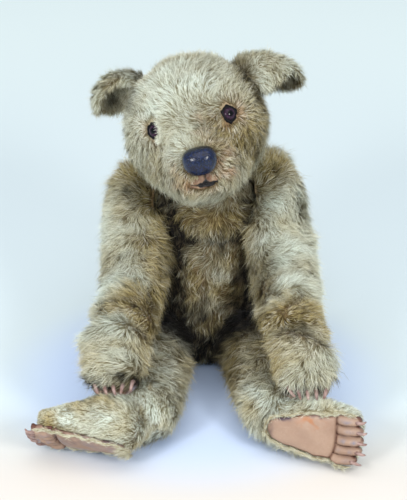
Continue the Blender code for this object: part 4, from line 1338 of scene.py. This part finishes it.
def tuft_over(name, matrix, spots, ways, long, coat, seed, width=0.00046, facing=(0.0, -1.0, 0.0)):
    """A few hundred blades at chosen places, each leaning along its way and curving down."""
    rng = np.random.default_rng(seed)
    count = len(spots)
    normals = np.tile(unit(np.array(facing, float)), (count, 1))
    reach = (long * rng.uniform(0.75, 1.2, count))[:, None]
    ways = unit(ways + 0.18 * rng.normal(size=(count, 3)))
    mid = spots + unit(ways + normals * 0.55) * reach * 0.5
    tip = mid + unit(ways - normals * 0.12) * reach * 0.5
    side = unit(np.cross(ways, normals)) * (width * rng.uniform(0.6, 1.3, count))[:, None] * 0.5
    points = np.stack([spots, mid - side, mid + side, tip], 1).reshape(-1, 3)
    points = out_of(matrix, points).reshape(count, 4, 3)
    turn = np.array(matrix.to_3x3(), float)
    blades(name, points, normals @ turn.T, np.tile(coat, (count, 1)), 0.4 + 0.6 * rng.random(count))


def brow_over_eye():
    """Pile that has fallen over the inner half of the right eye."""
    rng = np.random.default_rng(64)
    count = 900
    eye = HEAD_PLACE @ eye_frame(-1)
    z = rng.uniform(-0.0095, 0.0110, count)
    x = 0.0092 + 0.0035 * rng.random(count) - 0.010 * np.abs(z / 0.02) ** 2
    spots = np.stack([x, np.full(count, 0.0010), z], 1)
    ways = np.stack([np.full(count, -1.0), np.zeros(count), -0.55 + 0.3 * rng.normal(size=count)], 1)
    tuft_over("brow_over_eye", eye, spots, ways, 0.0098, (0.20, 0, 0.1, 0), 65)


def loose_tufts():
    """Pile that stands up from the crown and at the outer ends of both wrist folds."""
    for name, at, size, way, long, coat, count, seed in (
            ("crown_tuft", (0.008, -0.034, 0.349), (0.012, 0.007, 0.0), (0.1, -0.1, 1.0), 0.0090,
             (0.55, 0.35, 0, 0.1), 260, 120),
            ("crown_tuft_right", (-0.030, -0.034, 0.343), (0.007, 0.006, 0.0), (-0.3, -0.1, 1.0), 0.0075,
             (0.50, 0.20, 0, 0.1), 120, 123),
            ("wrist_tuft_right", (-0.115, -0.161, 0.118), (0.003, 0.006, 0.009), (-1.0, -0.2, 0.30), 0.0115,
             (0.30, 0.15, 0, 0.2), 240, 121),
            ("wrist_tuft_left", (0.124, -0.160, 0.116), (0.003, 0.012, 0.012), (1.0, -0.25, 0.10), 0.0110,
             (0.70, 0.20, 0, 0.7), 420, 122)):
        rng = np.random.default_rng(seed)
        spots = np.array(at) + np.array(size) * rng.uniform(-1, 1, (count, 3))
        spots = np.array([WALLS.find_nearest(Vector(spot) + SHIFT)[0] - SHIFT for spot in spots.tolist()])
        ways = np.array(way) + 0.35 * rng.normal(size=(count, 3))
        tuft_over(name, SHIFTED, spots, ways, long, coat, seed, facing=(0.0, -0.7, 0.7))


make_muzzle()
make_nose()
brow_over_eye()
loose_tufts()
for side, hand in SIDES.items():
    make_eye(side, hand)
    wire = NODES["eye_wire_" + side]
    wire.data.materials.clear()
    wire.data.materials.append(WIRE)


# ---------------------------------------------------------------- rubber soles and palms
def claw_mesh(bm, path, radius, matrix):
    """Adds a curved, tapering claw to a mesh, round-ended, along a path of points."""
    sides = 10
    rows = catmull([(*p, 1.0, 1.0) for p in path], 9)[:, :3]
    ways = np.gradient(rows, axis=0)
    loops = []
    for k, (spot, way) in enumerate(zip(rows, ways)):
        way = Vector(way).normalized()
        side = way.orthogonal().normalized() if k == 0 else (side - way * side.dot(way)).normalized()
        up = way.cross(side)
        t = k / (len(rows) - 1)
        r = radius * (1.0 - 0.62 * t ** 2.2)
        ring = [Vector(spot) + (side * math.cos(a) + up * math.sin(a)) * r
                for a in (math.tau * n / sides for n in range(sides))]
        loops.append([bm.verts.new(matrix @ v) for v in ring])
    for low, high in zip(loops, loops[1:]):
        for k in range(sides):
            n = (k + 1) % sides
            bm.faces.new((low[k], low[n], high[n], high[k]))
    end = bm.verts.new(matrix @ (Vector(rows[-1]) + Vector(ways[-1]).normalized() * radius * 0.4))
    for k in range(sides):
        bm.faces.new((loops[-1][k], loops[-1][(k + 1) % sides], end))
    bm.faces.new(loops[0][::-1])


TOES, TOE_PITCH, HEEL_BACK, TOE_REACH = 5, 0.0107, -0.0050, 0.0932
SOLE_ROWS, SOLE_COLUMNS = 112, 84
SOLE_WIDTHS = [                      # how far along from heel to toes, and how wide on each side there
    (0, 0.003), (0.02, 0.0070), (0.06, 0.0105), (0.12, 0.0132), (0.20, 0.0155), (0.34, 0.0188),
    (0.50, 0.0222), (0.62, 0.0228), (0.70, 0.0234), (0.78, 0.0262), (0.93, 0.0268), (1.0, 0.0262),
]


def sole_front(number):
    """How far each toe reaches from the heel's origin: the outermost one is short."""
    return TOE_REACH - 0.0007 * number ** 2 - 0.0022 * (number < -1.5)


def sole_grid():
    """A sole's grid, heel to toes and side to side: for each point its share across, x, z, where the
    toes start there, its toe, its shares across and along that toe, and whether it's in the toes."""
    u, s = np.meshgrid(np.linspace(0, 1, SOLE_ROWS), np.linspace(-1, 1, SOLE_COLUMNS), indexing="ij")
    u, s = u.ravel(), s.ravel()
    wide = np.interp(u, *zip(*SOLE_WIDTHS)) + 0.0005 * np.sin(u * 17 + s) + 0.0003 * np.sin(u * 41)
    z = s * wide
    number = np.clip(np.round(z / TOE_PITCH), -2, 2)
    from_toe = (z - number * TOE_PITCH) / (TOE_PITCH / 2)
    front = sole_front(number) - 0.0060 * np.abs(from_toe) ** 2.5
    blend = smooth(u, 0.6, 0.95)
    front = TOE_REACH * (1 - blend) + front * blend
    x = HEEL_BACK + u * (front - HEEL_BACK)
    start = 0.0662 - 0.0012 * (np.maximum(z, 0) / 0.026) ** 2 - 0.0075 * (np.maximum(-z, 0) / 0.026) ** 2
    along = np.clip((x - start) / (front - start + 1e-6), 0, 1)
    return s, x, z, start, number, from_toe, along, smooth(x, start - 0.0008, start + 0.0012)


def make_sole(side):
    """The moulded sole: a broad pad, a deep groove and five long toes."""
    matrix = foot_frame(side) @ Matrix.Translation((0, -SOLE + 0.0012, 0))
    s, x, z, start, number, from_toe, along, in_toes = sole_grid()
    here, flat = np.stack([x, 0 * x, z], 1), np.stack([x, z], 1)
    edge = 1 - np.abs(s) ** 5
    heel = smooth(x, HEEL_BACK, 0.0035)
    dome = 0.0040 * np.sqrt(np.clip(edge * heel, 0, 1)) + 0.0008 * blob(flat, (0.044, 0.0), (0.026, 0.018))
    dome = dome * (0.35 + 0.65 * np.sqrt(smooth(start - x, 0.0, 0.0080)))
    round_toe = np.clip(1 - np.abs(np.clip(from_toe + 0.08, -1, 1)) ** 2.1, 0, 1) ** 0.55
    hump = 0.62 + 0.38 * np.sin(np.clip(along * 1.15, 0, 1) * math.pi) ** 0.7
    tip = np.sqrt(np.clip(1 - np.clip((along - 0.78) / 0.22, 0, 1) ** 2.2, 0, 1))
    knuckle = 0.0006 * ridge(along, 0.34, 0.12) - 0.0006 * ridge(along, 0.62, 0.05)
    toes = (0.0078 + 0.0008 * np.cos(number * 2.1)) * round_toe * hump * tip - 0.0012 + knuckle * round_toe
    height = dome * (1 - in_toes) + toes * in_toes - 0.0022 * ridge(x, start, 0.0013)
    height += 0.00026 * waves(here, 0.0110, 91) + 0.00004 * waves(here, 0.0040, 92)
    points = np.stack([x, -height, z], 1)
    obj = shell_of("sole_rubber_" + side, out_of(matrix, points), SOLE_ROWS, SOLE_COLUMNS,
                   np.array(matrix.to_3x3() @ Vector((0, 0.0030, 0))), RUBBER)
    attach(obj, "root")
    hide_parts("sole_pad_" + side)
    sole_wear(side, obj.data)
    rng = np.random.default_rng(93)
    sole_claws(side, matrix, rng)
    sole_edges(side, matrix, points.reshape(SOLE_ROWS, SOLE_COLUMNS, 3), rng)


def sole_wear(side, mesh):
    """Grey wear on the toes, purple and rusty stains, dirt and painted shade in the grooves, under the toes
    and at the edges, and a painted highlight on the pad.
    """
    s, x, z, start, number, from_toe, along, in_toes = sole_grid()
    here, flat = np.stack([x, 0 * x, z], 1), np.stack([x, z], 1)
    share = 0.55 + 0.35 * np.cos(number * 1.9 + 0.6)
    worn = blob(np.stack([along - 0.50 - 0.10 * np.sin(number * 2.3), from_toe - 0.10], 1), 0, (0.30, 0.52))
    worn = np.clip(1.2 * share * worn * in_toes * (0.8 + 0.9 * waves(here, 0.0070, 94)), 0, 1)
    purple = patches(flat, (0.7, (0.046, 0.0210), (0.008, 0.0022)), (0.45, (-0.002, -0.001), (0.004, 0.008)))
    purple += 1.2 * blob(flat, (0.0105, 0.0145), (0.0110, 0.0036), 2.0)
    rust = 0.85 * (side == "left") * blob(flat, (0.0375, 0.0142), (0.0165, 0.0066))
    rust += 0.4 * blob(flat, (0.024, 0.0185), (0.010, 0.0020))
    rust *= smooth(waves(here, 0.0036, 98), -0.75, 0.15)
    if side == "right":
        worn = np.clip(worn + 0.34 * (1 - in_toes) * (0.7 + 0.6 * waves(here, 0.012, 84)), 0, 1)
        purple = patches(flat, (0.9, (0.068, 0.0240), (0.006, 0.003)), (0.35, (0.050, 0.012), (0.02, 0.010)))
    # Painted shade between the toes and along each toe's lower side, and in the groove in front of the pad.
    between = 0.75 * smooth(np.abs(np.clip(from_toe + 0.08, -1, 1)), 0.86, 0.99)
    between += 0.50 * smooth(-from_toe, 0.20, 0.85)
    groove_shade = 0.75 * ridge(x, start, 0.0012) + in_toes * between
    groove_shade *= 0.75 + 0.35 * waves(here, 0.005, 86)
    # Darker at the sole's edges: dirt and painted shade.
    rim = smooth(np.abs(s), 0.90, 1.0) + smooth(-x, 0.004, 0.009)
    torn = in_toes * smooth(along, 0.84, 0.97) * (0.9 + 0.9 * waves(here, 0.0035, 89))
    crack = ridge(s, -0.93, 0.035) * smooth(x, 0.004, 0.012) * (1 - in_toes)
    # A lighter middle of the pad: a painted highlight on its dome.
    grime_and_shade = 0.10 + 0.16 * waves(here, 0.022, 85) - 0.10 * blob(flat, (0.046, -0.006), (0.022, 0.016))
    grime_and_shade += 0.85 * groove_shade + 0.50 * rim * (0.6 + 0.7 * waves(here, 0.006, 95)) + 0.5 * torn
    grime_and_shade = np.maximum(np.clip(grime_and_shade, 0, 0.95), 0.9 * crack)
    patchy = 0.75 + 0.5 * waves(here, 0.004, 96)
    stain, rust = np.clip(purple * patchy, 0, 0.92), np.clip(rust * patchy, 0, 0.8)
    for name, value in (("grey", worn), ("stain", stain), ("rust", rust), ("grime_and_shade", grime_and_shade)):
        attribute(mesh, name, np.tile(value, 2))


def sole_claws(side, matrix, rng):
    """A short claw out of the tip of each toe."""
    bm = bmesh.new()
    for k in range(-2, 3):
        tip, lean, mid = sole_front(k), 0.0012 * k, k * TOE_PITCH
        path = [(tip - 0.0060, -0.0030, mid), (tip - 0.0010, -0.0044, mid + 0.2 * lean),
                (tip + 0.0022, -0.0044, mid + 0.5 * lean),
                (tip + 0.0048 + rng.uniform(-0.0016, 0.0004), -0.0026, mid + lean)]
        claw_mesh(bm, path, 0.0019, matrix)
    finish_claws(bm, "sole_claws_" + side)


def sole_edges(side, matrix, corners, rng):
    """The cloth's rolled and frayed edge along both sides of a sole, from the middle of its heel."""
    for name, line, way in (("upper", corners[:, -1], 1), ("lower", corners[:, 0], -1)):
        line = np.vstack([corners[0, corners.shape[1] // 2::way * 5][:8], line[::3]])
        line = line + np.array((-0.0012, 0, way * 0.0019))
        line[:, 1] = -0.0012 - 0.0008 * np.sin(np.arange(len(line)) * 0.9)
        line[:8, 0] -= 0.0010
        rope("sole_edge_" + name + "_" + side, line, 0.0009, matrix, 5 if way > 0 else 6)
        count = 520
        picks = rng.integers(1, len(line) - 1, count)
        share = rng.random((count, 1))
        spots = line[picks] * share + line[picks - 1] * (1 - share) + rng.normal(0, 0.0006, (count, 3))
        spots[:, 2] += way * 0.0012 * rng.random(count)
        along_edge = unit(line[picks] - line[picks - 1]) * np.where(rng.random((count, 1)) < 0.25, -1, 1)
        ways = along_edge * 1.1 + np.array((0, 0, -0.40 * way)) * rng.uniform(-0.8, 1.0, (count, 1))
        tuft_over("sole_fray_" + name + "_" + side, matrix, spots, ways, 0.0070, (0.35, 0, 0, 0.25),
                  100 + way, 0.00040, (0.0, -1.0, 0.0) if side == "left" else (0.0, -0.5, 0.9))
    if side == "right":
        count = 320
        spots = np.stack([rng.uniform(-0.013, -0.002, count), np.full(count, -0.0015),
                          rng.uniform(-0.013, 0.015, count)], 1)
        ways = np.stack([np.ones(count), rng.uniform(-0.5, 0.0, count), 0.9 * rng.normal(size=count)], 1)
        tuft_over("heel_tufts", matrix, spots, ways, 0.0125, (0.50, 0.12, 0, 0.20), 110, 0.00040,
                  (-0.3, -0.5, 0.8))


def rope(name, line, radius, matrix, seed):
    """A lumpy, rolled edge of cloth along a line, thinner at its ends."""
    rng = np.random.default_rng(seed)
    count, around = len(line), 10
    ways = unit(np.gradient(line, axis=0))
    side = unit(np.cross(ways, (0.0, 1.0, 0.0)))
    up = np.cross(side, ways)
    swell = 1 + 0.35 * np.sin(np.arange(count) * 0.8 + rng.uniform(0, 6)) * rng.uniform(0.5, 1.0, count)
    swell *= np.minimum(1, np.minimum(np.arange(count) + 1, count - np.arange(count)) / 3)
    turn = np.linspace(0, math.tau, around, endpoint=False)
    ring = side[:, None] * np.cos(turn)[None, :, None] + up[:, None] * np.sin(turn)[None, :, None]
    points = line[:, None] + ring * (radius * swell)[:, None, None]
    points = out_of(matrix, points.reshape(-1, 3))
    points[:, 2] = np.maximum(points[:, 2], FLOOR_GAP)
    ends = [list(range(around))[::-1], list(range(len(points) - around, len(points)))]
    obj = new_object(name, smooth_mesh(name, points, grid_faces(count, around, True).tolist() + ends), EDGE)
    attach(obj, "root")


def finish_claws(bm, name):
    """Turns the claws of one sole or palm into a piece, each in its own shade."""
    mesh = bpy.data.meshes.new(name)
    face_outwards(bm, mesh)
    obj = new_object(name, mesh, CLAW_RUBBER)
    p = coordinates(mesh)
    attribute(mesh, "grey", np.clip(0.3 * waves(p, 0.004, 98), 0, 1))
    attribute(mesh, "grime_and_shade", np.clip(0.15 + 0.5 * waves(p, 0.003, 97), 0, 0.7))
    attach(obj, "root")


PALM_TILT, CLAW_LIFT = {"left": 0.0, "right": -7.0}, {"left": 0.0050, "right": 0.0080}
CLAW_SWAY = {
    "right": (0.0030, 0.0028, 0.0024, -0.0018, -0.0022),
    "left": (0.0060, 0.0022, 0.0012, 0.0004, -0.0026),
}


def make_palm(side):
    """The rubber palm under a paw, and the claws that curl out from under its pile."""
    x, y, z, _, high = ARMS[side][-1]
    at = Vector((x, y + 0.006, z - high + 0.0035))
    matrix = SHIFTED @ Matrix.Translation(at) @ turned("Y", PALM_TILT[side]) @ turned("X", 12)
    form = ellipsoid((0, 0, 0), (0.0245, 0.0235, 0.0036), None, 64, 40)
    pad = new_object("palm_rubber_" + side, form, RUBBER)
    p = coordinates(pad.data)
    toes = np.abs(np.sin(p[:, 0] / 0.0245 * math.pi * 2.5)) ** 0.5
    p[:, 2] -= 0.0012 * toes * smooth(-p[:, 1], 0.006, 0.014) * (p[:, 2] < 0)
    attribute(pad.data, "grey", np.clip(0.5 * waves(p, 0.006, 87), 0, 1))
    attribute(pad.data, "grime_and_shade", np.clip(0.2 + 0.4 * waves(p, 0.009, 88), 0, 0.8))
    points = out_of(matrix, p)
    points[:, 2] = np.maximum(points[:, 2], 0.0008)
    place(pad.data, points)
    pad.data.shade_smooth()
    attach(pad, "root")
    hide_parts("palm_pad_" + side)
    bm = bmesh.new()
    for k, sway in enumerate(CLAW_SWAY[side]):
        share = k / (TOES - 1) - 0.5 + 0.04 * math.sin(7 * k + 2)
        lift = CLAW_LIFT[side] * max(0.0, -share if side == "left" else share)
        root = at + Vector((share * 0.040, 0.003 * (2 * share) ** 2, lift))
        path = [root + Vector(v) for v in (
            (-0.5 * sway, -0.012, 0.002), (-0.2 * sway, -0.0200, 0.0070), (0.2 * sway, -0.0252, 0.0055),
            (0.7 * sway, -0.0276, 0.0022), (sway, -0.0274, 0.0008 - 0.0010 * (k % 2)))]
        claw_mesh(bm, [tuple(v) for v in path], 0.0022, SHIFTED)
    finish_claws(bm, "palm_claws_" + side)


for side in SIDES:
    make_sole(side)
    make_palm(side)


# ---------------------------------------------------------------- room, light and camera
def floor_look():
    """A seamless pale sheet: cool further back, nearly white in front as a painted pool of light, and bluish
    round the bear as painted shadow colour.
    """
    look = Look("seamless_sheet", 0.9, Specular_IOR_Level=0.1)
    place_y = look.put("SeparateXYZ", None, Vector=look.where()).outputs[1]
    # Painted pool of light: nearly white in front of the feet, cooler behind.
    tone = look.mix(look.span(place_y, -0.21, -0.03), colour(225, 219, 211), colour(221, 233, 235))
    far = look.put("VectorMath", {"operation": "LENGTH"}, _0=look.where()).outputs["Value"]
    tone = look.mix(look.span(far, 0.5, 1.4), tone, colour(232, 244, 242))
    # Painted shadow colour: a bluish patch on the floor round the bear.
    tone = look.mix(look.span(far, 0.13, 0.24, 0.90, 0.0), tone, colour(206, 224, 255))
    look.set("Base Color", tone)
    return look.material


sheet = bpy.data.meshes.new("studio_floor")
sheet.from_pydata([(-90, -90, 0), (90, -90, 0), (90, 90, 0), (-90, 90, 0)], [], [(0, 1, 2, 3)])
floor = new_object("studio_floor", sheet, floor_look())
floor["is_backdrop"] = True

world = bpy.data.worlds.new("studio")
world.use_nodes = True
bpy.context.scene.world = world
sky = world.node_tree.nodes["Background"]
sky.inputs["Color"].default_value = (0.80, 0.89, 1.0, 1)
sky.inputs["Strength"].default_value = 0.64


def lamp(name, kind, where, towards, energy, size, tint):
    data = bpy.data.lights.new(name, kind)
    data.energy, data.color = energy, tint
    if kind == "AREA":
        data.shape, data.size, data.size_y = "RECTANGLE", size, size * 1.3
    else:
        data.angle = size
    obj = bpy.data.objects.new(name, data)
    obj.location = where
    obj.rotation_euler = (Vector(towards) - Vector(where)).to_track_quat("-Z", "Y").to_euler()
    bpy.context.scene.collection.objects.link(obj)


middle = (cad_low + cad_high) / 2
lamp("overhead", "SUN", (0, -0.6, 2.0), (0, 0, 0), 1.02, math.radians(60), (1.0, 0.94, 0.87))
for name, hand in (("softbox_left", -1), ("softbox_right", 1)):
    lamp(name, "AREA", (hand * 0.95, -1.45, 1.10), tuple(middle), 16.0, 0.36, (1.0, 0.99, 0.97))
lamp("front_fill", "AREA", (0.0, -1.6, 1.35), tuple(middle), 3.2, 0.60, (0.62, 0.80, 1.0))
bpy.data.objects["front_fill"].visible_glossy = False

SENSOR, FOCUS = 36.0, 3.009          # the sensor's side in mm, and the focal length as a multiple of it
camera = bpy.data.cameras.new("camera")
camera.sensor_fit, camera.sensor_height, camera.sensor_width = "VERTICAL", SENSOR, SENSOR
camera.lens = SENSOR * FOCUS
viewer = bpy.data.objects.new("camera", camera)
viewer.location = Vector((0.0, -1.553, 0.861)) + SHIFT
viewer.rotation_euler = (math.radians(90 - VIEW_FALL), 0, 0)
bpy.context.scene.collection.objects.link(viewer)
bpy.context.scene.camera = viewer

bpy.context.scene.view_settings.view_transform = "Standard"
low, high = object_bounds()
